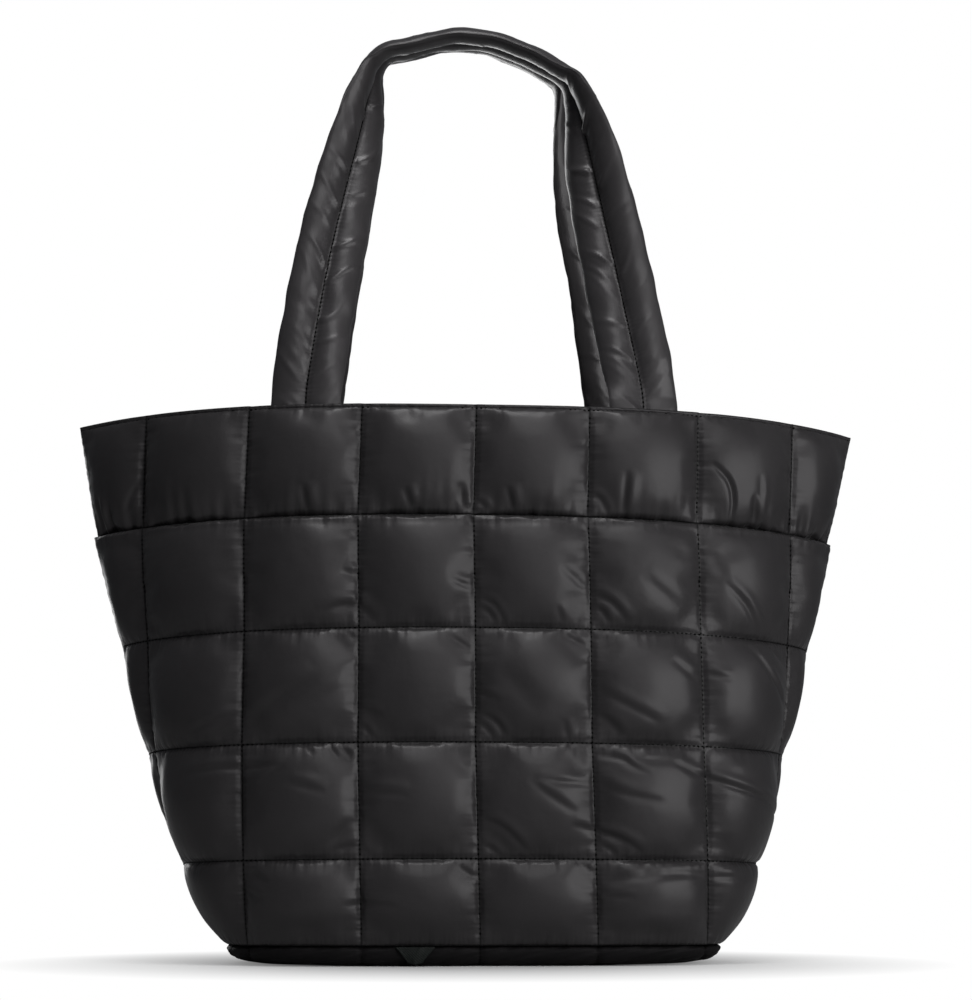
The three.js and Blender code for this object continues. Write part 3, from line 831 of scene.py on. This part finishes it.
def crease_base(mesh):
    """Draws the base's edge in at its cross seams and lets small folds run along it."""
    along = get_values(mesh, "along")
    level = get_values(mesh, "level")
    rim = np.clip(level / 2, 0, 1) * np.clip((10.5 - level) / 2.5, 0, 1)
    off = np.abs(along - np.rint(along / QUILT_COLUMN) * QUILT_COLUMN)
    groove = np.exp(-((off / BASE_SEAM_WIDTH) ** 2)) + 0.45 * np.exp(-((off / BASE_SEAM_SLOPE) ** 2))
    waves = wave_noise(along + 0.002 * level, [0.011, 0.019, 0.034], 77)
    folds = wave_noise(along * 0.35 + level * 0.0035, [0.006, 0.011], 78)
    push = rim * (BASE_WAVE * waves + BASE_FOLD * folds - BASE_GROOVE * groove)
    places = vertex_places(mesh) + vertex_normals(mesh) * push[:, None]
    places[:, 2] = np.maximum(places[:, 2], 0)
    move_vertices(mesh, places)
    put_values(mesh, "line_off", off)
    put_values(mesh, "line_rise", np.abs(level - BASE_PIPING_LEVEL) * BASE_PIPING_PITCH)


# The straps

# A strap's route from its left foot to its right one. out is a share of the strap's spread, up a share of
# its rise above the hem, turn its twist in degrees from facing forwards, and kink a share of its bend.
Station = namedtuple("Station", "out up turn kink", defaults=[0.0])
STRAP_ROUTE = [
    Station(-0.975, 0.12, 0),
    Station(-0.93, 0.25, 10),
    Station(-0.87, 0.4, 16),
    Station(-0.8, 0.545, 26),
    Station(-0.722, 0.69, 38),
    Station(-0.68, 0.775, 50),
    Station(-0.645, 0.85, 64),
    Station(-0.61, 0.915, 82),
    Station(-0.54, 0.955, 90),
    Station(-0.41, 0.969, 90),
    Station(-0.24, 0.99, 90),
    Station(-0.06, 1, 90),
    Station(0.12, 0.993, 90),
    Station(0.3, 0.967, 90),
    Station(0.47, 0.934, 90),
    Station(0.59, 0.898, 88, 0.2),
    Station(0.65, 0.845, 78, 0.7),
    Station(0.685, 0.78, 64, 1),
    Station(0.72, 0.7, 48, 1),
    Station(0.79, 0.54, 30, 0.9),
    Station(0.85, 0.405, 20),
    Station(0.91, 0.26, 12),
    Station(0.97, 0.12, 4),
]
# side is -1 for the front, rise the height above the hem, tilt the degrees that the arc leans, and kink how
# far the right leg bends aside.
Strap = namedtuple("Strap", "node side rise tilt kink seed")
STRAPS = [
    Strap("front_strap", -1, 0.269, -10, 0.0, 5),
    Strap("back_strap", 1, 0.284, 20, -0.004, 6),
]
STRAP_AROUND = 96
STRAP_ALONG = 500
EMERGING = 0.03


def foot_place(place):
    """Where a strap's foot lies against the inside of the hem, and the wall's direction there."""
    inside = Outline(section_at(place), SIDE_WALL, STITCHED_WALL)
    beside = inside.point(np.array(STRAP_SPREAD))
    ahead = inside.point(np.array(STRAP_SPREAD + 0.001))
    clear = FOOT_FULLNESS * STRAP_THICKNESS / 2 + 2 * GAP
    return beside[1] + clear, -math.degrees(math.atan2(ahead[1] - beside[1], ahead[0] - beside[0]))


def strap_stations(strap):
    """Middles, directions across and fullness of the padding at each station."""
    sunk_depth, _ = foot_place(HEM - STRAP_FOOT_LENGTH / QUILT_ROW)
    hem_depth, foot_turn = foot_place(HEM)
    depth = max(sunk_depth, hem_depth)
    buried = -STRAP_FOOT_LENGTH / strap.rise
    left = [Station(-1, up, foot_turn) for up in (buried, buried / 2, EMERGING)]
    right = [Station(1, spot.up, foot_turn) for spot in reversed(left)]
    middles, acrosses, fulls = [], [], []
    for spot in left + STRAP_ROUTE + right:
        turn = math.radians(spot.turn)
        tilt = math.radians(strap.tilt)
        lean = min(1, max(0, spot.up) / LEAN_ENDS)
        middles.append([
            spot.out * STRAP_SPREAD + spot.kink * strap.kink,
            strap.side * lerp(-depth, STRAP_TOP_OFFSET, lean),
            RIM_HEIGHT + spot.up * strap.rise,
        ])
        acrosses.append([
            math.copysign(1, spot.out) * math.cos(turn),
            strap.side * math.sin(turn) * math.cos(tilt),
            math.sin(turn) * math.sin(tilt) * max(0, spot.turn / 90),
        ])
        fulls.append(FOOT_FULLNESS if spot.up <= EMERGING else 1.0)
    return np.array(middles), np.array(acrosses), np.array(fulls)


def smooth_line(points, places):
    """A smooth line through the points at places counted in points, with its direction there."""
    padded = np.concatenate([[2 * points[0] - points[1]], points, [2 * points[-1] - points[-2]]])
    below = np.minimum(np.floor(places).astype(int), len(points) - 2)
    share = (places - below)[:, None]
    before, start, end, after = (padded[below + step] for step in range(4))
    spans = [np.sqrt(np.linalg.norm(b - a, axis=1, keepdims=True)) for a, b in
             ((before, start), (start, end), (end, after))]
    leave = (start - before) / spans[0] - (end - before) / (spans[0] + spans[1]) + (end - start) / spans[1]
    arrive = (end - start) / spans[1] - (after - start) / (spans[1] + spans[2]) + (after - end) / spans[2]
    leave, arrive = leave * spans[1], arrive * spans[1]
    cubic = 2 * start - 2 * end + leave + arrive
    square = -3 * start + 3 * end - 2 * leave - arrive
    line = start + leave * share + square * share**2 + cubic * share**3
    run = leave + 2 * square * share + 3 * cubic * share**2
    return line, run / np.linalg.norm(run, axis=1, keepdims=True)


def strap_frames(strap, count):
    """Evenly placed middles along a strap, with the directions across, out of and along it."""
    middles, acrosses, fulls = strap_stations(strap)
    fine = np.linspace(0, len(middles) - 1, 2000)
    line, _ = smooth_line(middles, fine)
    length = np.concatenate([[0], np.cumsum(np.linalg.norm(np.diff(line, axis=0), axis=1))])
    places = np.interp(np.linspace(0, length[-1], count), length, fine)
    line, run = smooth_line(middles, places)
    spots = np.arange(len(middles))
    across = np.stack([np.interp(places, spots, acrosses[:, axis]) for axis in range(3)], axis=1)
    across -= run * np.sum(across * run, axis=1, keepdims=True)
    across /= np.linalg.norm(across, axis=1, keepdims=True)
    facing = np.cross(run, across)
    full = np.interp(places, spots, fulls)
    return line, run, across, facing, full, np.linspace(0, length[-1], count)


STRAP_WRINKLE = 0.0015
STRAP_WRINKLE_REACH = 0.015
STRAP_WRINKLE_START = 0.003
STRAP_WAVE = 0.0005
STRAP_SEAM_FLAT = 0.0012
STRAP_TURN_ROOM = 0.12


def tube_thickness(across):
    """Half thickness of the strap, as a share of half a tube's, across its width."""
    return np.maximum(0.1, np.sin(math.pi * np.clip(np.abs(across), 0, 1)) ** 0.62)


def strap_wrinkles(along, across, face, seed):
    """Slanting wrinkles that meet in the stitched middle, with puckers beside it."""
    width = np.abs(across) * STRAP_WIDTH / 2
    lean = np.clip((along - along.max() / 2) / STRAP_TURN_ROOM, -1, 1)
    push = np.zeros_like(along)
    for side in (-1, 1):
        here = np.sign(across) == side
        number = seed * 10 + side + 2 * face
        slope = 0.9 + 0.5 * wave_noise(along[here], [0.06, 0.11], number + 3)
        slanted = along[here] + slope * lean[here] * width[here]
        waves = wave_noise(slanted, [0.009, 0.014, 0.023], number)
        strength = 0.6 + 0.5 * wave_noise(along[here], [0.035, 0.06], number + 1)
        strength *= 0.3 + 0.7 * np.abs(lean[here])
        ridges = 1.5 * np.maximum(waves, 0) ** 2 + 0.3 * waves
        fade = np.exp(-((width[here] / STRAP_WRINKLE_REACH) ** 2))
        push[here] += STRAP_WRINKLE * ridges * strength * fade
        broad = wave_noise(along[here] + 0.4 * width[here], [0.03, 0.047], number + 2)
        push[here] += STRAP_WAVE * broad
    return push * np.minimum(1, width / STRAP_WRINKLE_START)


def make_strap(strap):
    name = strap.node + "_padded"
    mesh, column, row = grid_mesh(name, STRAP_AROUND, STRAP_ALONG)
    line, _, across, facing, full, length = strap_frames(strap, STRAP_ALONG + 1)
    turn = column / STRAP_AROUND * 2 * math.pi
    side = np.cos(turn)
    thick = np.sin(turn)
    spread = np.sign(side) * np.abs(side) ** 0.85
    height = np.sign(np.round(thick, 9)) * tube_thickness(spread) * STRAP_THICKNESS / 2
    height *= np.minimum(1, np.abs(thick) / 0.35) ** 0.5
    places = line[row] + across[row] * (spread * STRAP_WIDTH / 2)[:, None]
    places += facing[row] * (height * full[row])[:, None]
    move_vertices(mesh, places)
    put_values(mesh, "along", length[row])
    put_values(mesh, "across", spread)
    put_values(mesh, "face", thick > 0)
    put_uv(mesh, column / STRAP_AROUND * 2.2 * STRAP_WIDTH, length[row])
    close_roll(mesh)
    piece = new_piece(name, mesh)
    along = get_values(mesh, "along")
    spread = get_values(mesh, "across")
    face = np.rint(get_values(mesh, "face")).astype(int)
    back, front = (strap_wrinkles(along, spread, number, strap.seed) for number in (0, 1))
    push = np.where(face == 1, front, back)
    off = np.abs(spread) * STRAP_WIDTH / 2
    push *= 1 - np.exp(-((off / STRAP_SEAM_FLAT) ** 2))
    move_vertices(mesh, vertex_places(mesh) + vertex_normals(mesh) * push[:, None])
    put_values(mesh, "line_off", off)
    put_values(mesh, "line_rise", np.full(len(mesh.vertices), QUILT_ROW / 2))
    smooth_shade(mesh)
    return piece


# The folded tab at the base seam

RIBBON_WALL = 0.0005


def make_tab():
    """A ribbon loop whose corners are folded in towards a narrow lower end."""
    levels = np.linspace(0, 1, 9)
    mesh, column, row = grid_mesh("tab_folded", 16, len(levels) - 1)
    front = Outline(section_at(0)).point(np.array(TAB_CENTRE))[1] - 2 * GAP
    drop = levels[len(levels) - 1 - row]
    half = lerp(TAB_WIDTH, TAB_TIP, np.clip(drop * 1.1, 0, 1)) / 2
    across = column / 8 - 1
    bulge = 0.35 + 0.5 * np.sin(math.pi * np.clip(drop, 0, 1) * 0.9) + 0.12 * np.cos(4 * across)
    fold = 0.3 * np.exp(-(((across - 0.35 + 0.5 * drop) / 0.12) ** 2))
    x = TAB_CENTRE + across * half
    y = front - TAB_THICKNESS * np.clip(bulge + fold, 0.3, 1)
    z = BASE_SEAM_HEIGHT - 2 * GAP - drop * TAB_DROP * (1 - 0.12 * np.abs(across))
    move_vertices(mesh, np.column_stack([x, y, z]))
    put_uv(mesh, across * half, drop * TAB_DROP)
    piece = new_piece("tab_folded", mesh)
    wall = piece.modifiers.new("ribbon", "SOLIDIFY")
    wall.thickness = RIBBON_WALL
    wall.offset = -1
    soft = piece.modifiers.new("soft", "SUBSURF")
    soft.levels = 1
    soft.render_levels = 1
    smooth_shade(mesh)
    return piece


# Stitches

def stitch_shape():
    """One short stitch, lying along X with its upper side towards Z."""
    bm = bmesh.new()
    bmesh.ops.create_icosphere(bm, subdivisions=1, radius=0.5)
    bmesh.ops.scale(bm, verts=bm.verts, vec=(STITCH_LENGTH, STITCH_WIDTH, STITCH_WIDTH * 0.55))
    mesh = bpy.data.meshes.new("stitch")
    bm.to_mesh(mesh)
    bm.free()
    return mesh


def along_line(points, outs):
    """Evenly pitched places on a line, with the directions along and out of the cloth there."""
    steps = np.linalg.norm(np.diff(points, axis=0), axis=1)
    length = np.concatenate([[0], np.cumsum(steps)])
    count = int(length[-1] / STITCH_PITCH)
    wanted = (np.arange(count) + 0.5) * length[-1] / max(count, 1)

    def at(values, places):
        return np.stack([np.interp(places, length, values[:, axis]) for axis in range(3)], axis=1)

    places = at(points, wanted)
    run = at(points, wanted + 0.0005) - at(points, wanted - 0.0005)
    run /= np.linalg.norm(run, axis=1, keepdims=True)
    out = at(outs, wanted)
    out -= run * np.sum(out * run, axis=1, keepdims=True)
    out /= np.linalg.norm(out, axis=1, keepdims=True)
    return places, run, out


def make_stitches(name, rows):
    """One mesh of the stitches along several rows, each a pair of points and outward directions."""
    shape = stitch_shape()
    corners = vertex_places(shape)
    faces = np.array([list(face.vertices) for face in shape.polygons])
    spots = [along_line(*row) for row in rows]
    places, runs, outs = (np.concatenate([spot[part] for spot in spots]) for part in range(3))
    sides = np.cross(outs, runs)
    vertices = places[:, None, :] + sum(
        corners[None, :, axis:axis + 1] * ways[:, None, :] for axis, ways in enumerate((runs, sides, outs))
    )
    offsets = np.arange(len(places))[:, None, None] * len(corners)
    mesh = bpy.data.meshes.new(name)
    mesh.from_pydata(vertices.reshape(-1, 3), [], (faces[None] + offsets).reshape(-1, 3))
    smooth_shade(mesh)
    bpy.data.meshes.remove(shape)
    return new_piece(name, mesh)


def wall_stitch_rows(side):
    """The rows of stitches on one side of the body, on the cloth where it is drawn in."""
    rows = []
    for first, last, tuck in ((0, BAND_SEAM, 0.0), (BAND_SEAM, HEM, BAND_TUCK)):
        fine = row_stations(first, last, 12)
        places, _ = wall_places(LINES.astype(float), fine, side, tuck)
        for line in range(-SIDE_LINE + 1, SIDE_LINE):
            outs = [cloth_outs(np.array([line]), row, side)[0] for row in fine[1:-1]]
            rows.append((places[1:-1, line + SIDE_LINE], np.array(outs)))
    across = np.linspace(-SIDE_LINE + 0.02, SIDE_LINE - 0.02, 160)
    for seam in (1, 2, 3, HEM - HEM_STITCH):
        rows.append((seam_points(across, seam, side), cloth_outs(across, seam, side)))
    return rows


def seam_points(columns, seam, side):
    section = section_at(seam)
    outline = Outline(section)
    along = np.interp(columns, LINES, line_places(outline.half))
    flat = outline.point(along)
    z = section.z - section.sink * np.abs(along / outline.half) ** section.sink_power
    return np.column_stack([flat[:, 0], -side * (flat[:, 1] - GAP / 2), z])


def cloth_outs(columns, row, side):
    """The directions out of the cloth at those columns of one row."""
    outline = Outline(section_at(row))
    out = outline.outwards(np.interp(columns, LINES, line_places(outline.half)))
    return np.column_stack([out[:, 0], -side * out[:, 1], np.zeros(len(out))])


def strap_stitch_rows():
    rows = []
    for strap in STRAPS:
        line, _, _, facing, full, _ = strap_frames(strap, STRAP_ALONG + 1)
        for side in (-1, 1):
            lift = 0.1 * STRAP_THICKNESS / 2 * full + STITCH_RISE
            points = line + facing * (side * lift)[:, None]
            rows.append((points[2:-2], side * facing[2:-2]))
    return rows


# Finishes

def set_sockets(node, values):
    for socket, value in values.items():
        node.inputs[socket].default_value = value


def add_node(tree, kind, values=None, **settings):
    node = tree.nodes.new(kind)
    for key, value in settings.items():
        setattr(node, key, value)
    set_sockets(node, values or {})
    return node


def wire(tree, start, end):
    tree.links.new(start, end)


def fed_node(tree, source, socket, kind, values=None, **settings):
    """A new node with one of its sockets wired to a source."""
    node = add_node(tree, kind, values, **settings)
    wire(tree, source, node.inputs[socket])
    return node


def maths(tree, operation, first, second=None):
    """A math node over links or plain numbers."""
    node = add_node(tree, "ShaderNodeMath", operation=operation)
    for socket, value in enumerate((first, second)):
        if isinstance(value, (int, float)):
            node.inputs[socket].default_value = value
        elif value is not None:
            wire(tree, value, node.inputs[socket])
    return node.outputs[0]


def ranged(tree, value, ends):
    """A value brought into another range."""
    return fed_node(tree, value, "Value", "ShaderNodeMapRange", ends).outputs["Result"]


def blended(tree, first, second, share):
    """A mix of a colour or a link with a second colour."""
    node = fed_node(tree, share, "Factor", "ShaderNodeMix", data_type="RGBA")
    node.inputs["B"].default_value = second
    if isinstance(first, tuple):
        node.inputs["A"].default_value = first
    else:
        wire(tree, first, node.inputs["A"])
    return node.outputs["Result"]


def new_finish(name):
    """A new material, its node tree and its shader."""
    material = bpy.data.materials.new(name)
    material.use_nodes = True
    return material, material.node_tree, material.node_tree.nodes["Principled BSDF"]


def named_group(name, inputs, outputs):
    tree = bpy.data.node_groups.new(name, "ShaderNodeTree")
    for socket, kind, value in inputs:
        made = tree.interface.new_socket(socket, in_out="INPUT", socket_type=kind)
        if value is not None:
            made.default_value = value
    for socket, kind in outputs:
        tree.interface.new_socket(socket, in_out="OUTPUT", socket_type=kind)
    return tree, tree.nodes.new("NodeGroupInput"), tree.nodes.new("NodeGroupOutput")


def plain_weave_group():
    """A plain weave of fine threads, over and under, in metres of cloth."""
    inputs = [("Cloth", "NodeSocketVector", None), ("Pitch", "NodeSocketFloat", 0.0005)]
    tree, given, made = named_group("plain_weave", inputs, [("Height", "NodeSocketFloat")])
    split = fed_node(tree, given.outputs["Cloth"], 0, "ShaderNodeSeparateXYZ")
    turns = maths(tree, "DIVIDE", math.pi, given.outputs["Pitch"])
    phases = [maths(tree, "MULTIPLY", split.outputs[axis], turns) for axis in "XY"]
    across, up = (maths(tree, "SINE", phase) for phase in phases)
    wire(tree, maths(tree, "MULTIPLY", across, up), made.inputs["Height"])
    return tree


def stitch_pucker_group():
    """Short ridges square to the nearest stitches, one to each stitch, and the seam mask: stitch holes and
    painted groove shade.
    """
    inputs = [
        ("Cloth", "NodeSocketVector", None),
        ("Off", "NodeSocketFloat", 1.0),
        ("Rise", "NodeSocketFloat", 1.0),
        ("Pitch", "NodeSocketFloat", STITCH_PITCH),
        ("Reach", "NodeSocketFloat", 0.003),
        ("Seam Width", "NodeSocketFloat", 0.0008),
    ]
    outputs = [("Height", "NodeSocketFloat"), ("Seam", "NodeSocketFloat")]
    tree, given, made = named_group("stitch_puckers", inputs, outputs)
    split = fed_node(tree, given.outputs["Cloth"], 0, "ShaderNodeSeparateXYZ")
    noise = {"Scale": 140.0, "Detail": 1.0}
    uneven = fed_node(tree, given.outputs["Cloth"], "Vector", "ShaderNodeTexNoise", noise).outputs["Fac"]
    turns = maths(tree, "DIVIDE", 2 * math.pi, given.outputs["Pitch"])
    heights = []
    seams = []
    for along, away in (("Y", "Off"), ("X", "Rise")):
        phase = maths(tree, "MULTIPLY", split.outputs[along], turns)
        phase = maths(tree, "ADD", phase, maths(tree, "MULTIPLY", uneven, 5.0))
        share = maths(tree, "DIVIDE", given.outputs[away], given.outputs["Reach"])
        fade = maths(tree, "EXPONENT", maths(tree, "MULTIPLY", share, -1.0))
        fade = maths(tree, "MULTIPLY", fade, uneven)
        heights.append(maths(tree, "MULTIPLY", maths(tree, "SINE", phase), fade))
        close = maths(tree, "DIVIDE", given.outputs[away], given.outputs["Seam Width"])
        square = maths(tree, "MULTIPLY", close, close)
        seams.append(maths(tree, "EXPONENT", maths(tree, "MULTIPLY", square, -1.0)))
    wire(tree, maths(tree, "ADD", *heights), made.inputs["Height"])
    wire(tree, maths(tree, "MAXIMUM", *seams), made.inputs["Seam"])
    return tree


WEAVE = plain_weave_group()
PUCKERS = stitch_pucker_group()
# The thread's black, also painted over the cloth along the stitch lines: partly the stitch holes, partly
# painted shade in the stitched groove
THREAD_BLACK_AND_SEAM_SHADE = (0.002, 0.002, 0.002, 1)
CRUMPLE_HEIGHT = 0.0009
PUCKER_BUMP = 0.00022
WEAVE_HEIGHT = 0.00004
RIBBON_HEIGHT = 0.0001
RIBBON_PITCH = 0.0009
Nylon = namedtuple("Nylon", "name dark light roughness sheen shine glaze")
NYLONS = [
    Nylon("black_satin_nylon", (0.012, 0.0113, 0.0118, 1), (0.021, 0.0198, 0.0206, 1),
          roughness=0.44, sheen=0.06, shine=0.14, glaze=0.14),
    # The same nylon for the base, its colour darkened as painted shade on the underside
    Nylon("base_nylon_painted_shade", (0.003, 0.0028, 0.003, 1), (0.006, 0.0057, 0.006, 1),
          roughness=0.6, sheen=0.0, shine=0.08, glaze=0.0),
    # The same nylon for the straps, its colour lightened as painted light
    Nylon("strap_nylon_painted_light", (0.017, 0.016, 0.0167, 1), (0.029, 0.0273, 0.0285, 1),
          roughness=0.4, sheen=0.06, shine=0.16, glaze=0.22),
]


def satin_nylon(kind):
    """Black nylon: a close weave with a soft shine, faint cloudy patches, and puckers at its stitches."""
    material, tree, shader = new_finish(kind.name)
    set_sockets(shader, {
        "Sheen Weight": kind.sheen,
        "Sheen Roughness": 0.35,
        "Specular IOR Level": kind.shine,
        "Specular Tint": (1.0, 0.96, 0.99, 1),
        "Coat Weight": kind.glaze,
        "Coat Roughness": 0.24,
    })
    cloth = add_node(tree, "ShaderNodeUVMap", uv_map="cloth").outputs["UV"]
    place = add_node(tree, "ShaderNodeTexCoord").outputs["Object"]
    clouds = {"Scale": 16.0, "Detail": 3.0, "Roughness": 0.55}
    cloudy = fed_node(tree, place, "Vector", "ShaderNodeTexNoise", clouds).outputs["Fac"]
    creases = {"Scale": 75.0, "Detail": 4.0, "Roughness": 0.5}
    crumpled = fed_node(tree, place, "Vector", "ShaderNodeTexNoise", creases).outputs["Fac"]
    weave = fed_node(tree, cloth, "Cloth", "ShaderNodeGroup", node_tree=WEAVE)
    puckers = fed_node(tree, cloth, "Cloth", "ShaderNodeGroup", node_tree=PUCKERS)
    for value, socket in (("line_off", "Off"), ("line_rise", "Rise")):
        fact = add_node(tree, "ShaderNodeAttribute", attribute_name=value)
        wire(tree, fact.outputs["Fac"], puckers.inputs[socket])
    seam = puckers.outputs["Seam"]
    colour = blended(tree, kind.dark, kind.light, cloudy)
    # Along the stitch lines the cloth's colour goes to black: partly the stitch holes, partly painted shade
    # in the stitched groove
    wire(tree, blended(tree, colour, THREAD_BLACK_AND_SEAM_SHADE, seam), shader.inputs["Base Color"])
    worn = ranged(tree, cloudy, {"To Min": kind.roughness - 0.05, "To Max": kind.roughness + 0.07})
    wire(tree, maths(tree, "MAXIMUM", worn, seam), shader.inputs["Roughness"])
    normal = None
    for height, distance, strength in (
        (crumpled, CRUMPLE_HEIGHT, 0.5),
        (puckers.outputs["Height"], PUCKER_BUMP, 0.8),
        (weave.outputs["Height"], WEAVE_HEIGHT, 0.5),
    ):
        values = {"Distance": distance, "Strength": strength}
        bump = fed_node(tree, height, "Height", "ShaderNodeBump", values)
        if normal:
            wire(tree, normal, bump.inputs["Normal"])
        normal = bump.outputs["Normal"]
    wire(tree, normal, shader.inputs["Normal"])
    return material


def matt_thread():
    material, tree, shader = new_finish("black_thread")
    set_sockets(shader, {"Specular IOR Level": 0.02})
    place = add_node(tree, "ShaderNodeTexCoord").outputs["Object"]
    noise = {"Scale": 900.0, "Detail": 2.0}
    twist = fed_node(tree, place, "Vector", "ShaderNodeTexNoise", noise).outputs["Fac"]
    colour = blended(tree, (0.0005, 0.0005, 0.0005, 1), THREAD_BLACK_AND_SEAM_SHADE, twist)
    wire(tree, colour, shader.inputs["Base Color"])
    wire(tree, ranged(tree, twist, {"To Min": 0.75, "To Max": 0.95}), shader.inputs["Roughness"])
    return material


def ribbon_weave():
    material, tree, shader = new_finish("tab_ribbon")
    set_sockets(shader, {"Specular IOR Level": 0.15})
    cloth = add_node(tree, "ShaderNodeUVMap", uv_map="cloth").outputs["UV"]
    weave = fed_node(tree, cloth, "Cloth", "ShaderNodeGroup", {"Pitch": RIBBON_PITCH}, node_tree=WEAVE)
    height = weave.outputs["Height"]
    # Raised threads lighter and dips darker: painted shade in the weave
    shade = ranged(tree, height, {"From Min": -1.0})
    colour = blended(tree, (0.0012, 0.0018, 0.0015, 1), (0.004, 0.0062, 0.0052, 1), shade)
    wire(tree, colour, shader.inputs["Base Color"])
    rough = ranged(tree, height, {"From Min": -1.0, "To Min": 0.5, "To Max": 0.65})
    wire(tree, rough, shader.inputs["Roughness"])
    values = {"Distance": RIBBON_HEIGHT, "Strength": 0.6}
    bump = fed_node(tree, height, "Height", "ShaderNodeBump", values)
    wire(tree, bump.outputs["Normal"], shader.inputs["Normal"])
    return material


# The studio

FLOOR_SIZE = 12.0
FADE_START = 0.1
FADE_END = 0.32


def seen_or_lit(tree, share, lit, seen, end):
    """Blends the shader that the camera sees over the one that lights the bag."""
    blend = fed_node(tree, share, "Fac", "ShaderNodeMixShader")
    wire(tree, lit, blend.inputs[1])
    wire(tree, seen, blend.inputs[2])
    wire(tree, blend.outputs["Shader"], tree.nodes[end].inputs["Surface"])


def add_floor():
    """A pale floor that turns to the same white as the backdrop away from the bag."""
    bm = bmesh.new()
    bmesh.ops.create_grid(bm, x_segments=8, y_segments=8, size=FLOOR_SIZE / 2)
    mesh = bpy.data.meshes.new("studio_floor")
    bm.to_mesh(mesh)
    bm.free()
    floor = new_piece("studio_floor", mesh)
    material, tree, shader = new_finish("studio_floor")
    set_sockets(shader, {"Base Color": (0.45, 0.45, 0.45, 1), "Roughness": 0.9, "Specular IOR Level": 0.1})
    place = add_node(tree, "ShaderNodeTexCoord").outputs["Object"]
    reach = fed_node(tree, place, 0, "ShaderNodeVectorMath", operation="LENGTH").outputs["Value"]
    fade = ranged(tree, reach, {"From Min": FADE_START, "From Max": FADE_END})
    camera = add_node(tree, "ShaderNodeLightPath").outputs["Is Camera Ray"]
    white = add_node(tree, "ShaderNodeEmission", {"Color": (1, 1, 1, 1), "Strength": 1.0})
    share = maths(tree, "MULTIPLY", fade, camera)
    seen_or_lit(tree, share, shader.outputs["BSDF"], white.outputs["Emission"], "Material Output")
    mesh.materials.append(material)


Lamp = namedtuple("Lamp", "name place aim size power")
LAMPS = [
    Lamp("overhead", (0.05, -0.55, 1.55), (0.0, 0.0, 0.35), 0.5, 10.5),
    Lamp("high_front", (0.2, -1.3, 1.5), (0.0, 0.0, 0.35), 0.9, 7.5),
    Lamp("near_right", (1.15, -1.1, 0.28), (0.15, 0.0, 0.15), 1.0, 16.0),
    Lamp("wide_front", (0.9, -2.2, 0.95), (0.0, 0.0, 0.3), 1.8, 11.0),
    Lamp("wide_back", (-0.7, 2.3, 0.7), (0.0, 0.0, 0.3), 1.8, 28.0),
]


def add_lights():
    for lamp in LAMPS:
        data = bpy.data.lights.new(lamp.name, "AREA")
        data.size = lamp.size
        data.energy = lamp.power
        light = bpy.data.objects.new(lamp.name, data)
        bpy.context.scene.collection.objects.link(light)
        light.visible_camera = False
        light.location = lamp.place
        aim = Vector(lamp.aim) - light.location
        light.rotation_mode = "QUATERNION"
        light.rotation_quaternion = aim.to_track_quat("-Z", "Y")


def add_backdrop():
    """White to the camera, and a faint cool light on the bag."""
    world = bpy.data.worlds.new("studio")
    bpy.context.scene.world = world
    world.use_nodes = True
    tree = world.node_tree
    soft = tree.nodes["Background"]
    set_sockets(soft, {"Color": (0.9, 0.93, 1.0, 1), "Strength": 0.13})
    white = add_node(tree, "ShaderNodeBackground", {"Color": (1, 1, 1, 1), "Strength": 1.0})
    camera = add_node(tree, "ShaderNodeLightPath").outputs["Is Camera Ray"]
    outputs = (soft.outputs["Background"], white.outputs["Background"])
    seen_or_lit(tree, camera, *outputs, "World Output")


# Putting the bag together

def hand_over(piece, material, slot, *nodes, fill=None):
    """Gives a piece its finish, its body and the CAD nodes that it stands for."""
    piece.data.materials.clear()
    piece.data.materials.append(material)
    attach(piece, "root")
    if nodes:
        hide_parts(*nodes)


bpy.context.scene.view_settings.view_transform = "Standard"
add_camera()
add_floor()
add_lights()
add_backdrop()

nylon, shaded_base_nylon, lit_strap_nylon = (satin_nylon(cloth) for cloth in NYLONS)
thread = matt_thread()

BACK_STEPS = 20
FRONT_GRID = (CELL_STEPS, ROW_STEPS)
BACK_GRID = (BACK_STEPS, BACK_STEPS)
BACK_FOLDS = scattered_folds(0, BAND_SEAM, 21)
BACK_BAND_FOLDS = scattered_folds(BAND_SEAM, HEM, 22)
for name, node, first, last, side, folds, seed, grid in (
    ("front_quilting", "front_panel", 0, BAND_SEAM, -1, PANEL_FOLDS, 100, FRONT_GRID),
    ("front_band_quilting", "front_top_band", BAND_SEAM, HEM, -1, BAND_FOLDS, 200, FRONT_GRID),
    ("back_quilting", "back_panel", 0, BAND_SEAM, 1, BACK_FOLDS, 300, BACK_GRID),
    ("back_band_quilting", "back_top_band", BAND_SEAM, HEM, 1, BACK_BAND_FOLDS, 500, BACK_GRID),
):
    wall = quilted_wall(name, first, last, side, folds, seed, *grid)
    hand_over(wall, nylon, "shell", node, fill=0.45)
hand_over(make_base(), shaded_base_nylon, "base", "base_panel", fill=0.5)
for strap in STRAPS:
    hand_over(make_strap(strap), lit_strap_nylon, "shell", strap.node, fill=0.5)
hand_over(make_tab(), ribbon_weave(), "tab", "base_tab")
for word, side in (("front", -1), ("back", 1)):
    hand_over(make_stitches(word + "_stitches", wall_stitch_rows(side)), thread, "shell")
hand_over(make_stitches("strap_stitches", strap_stitch_rows()), thread, "shell")
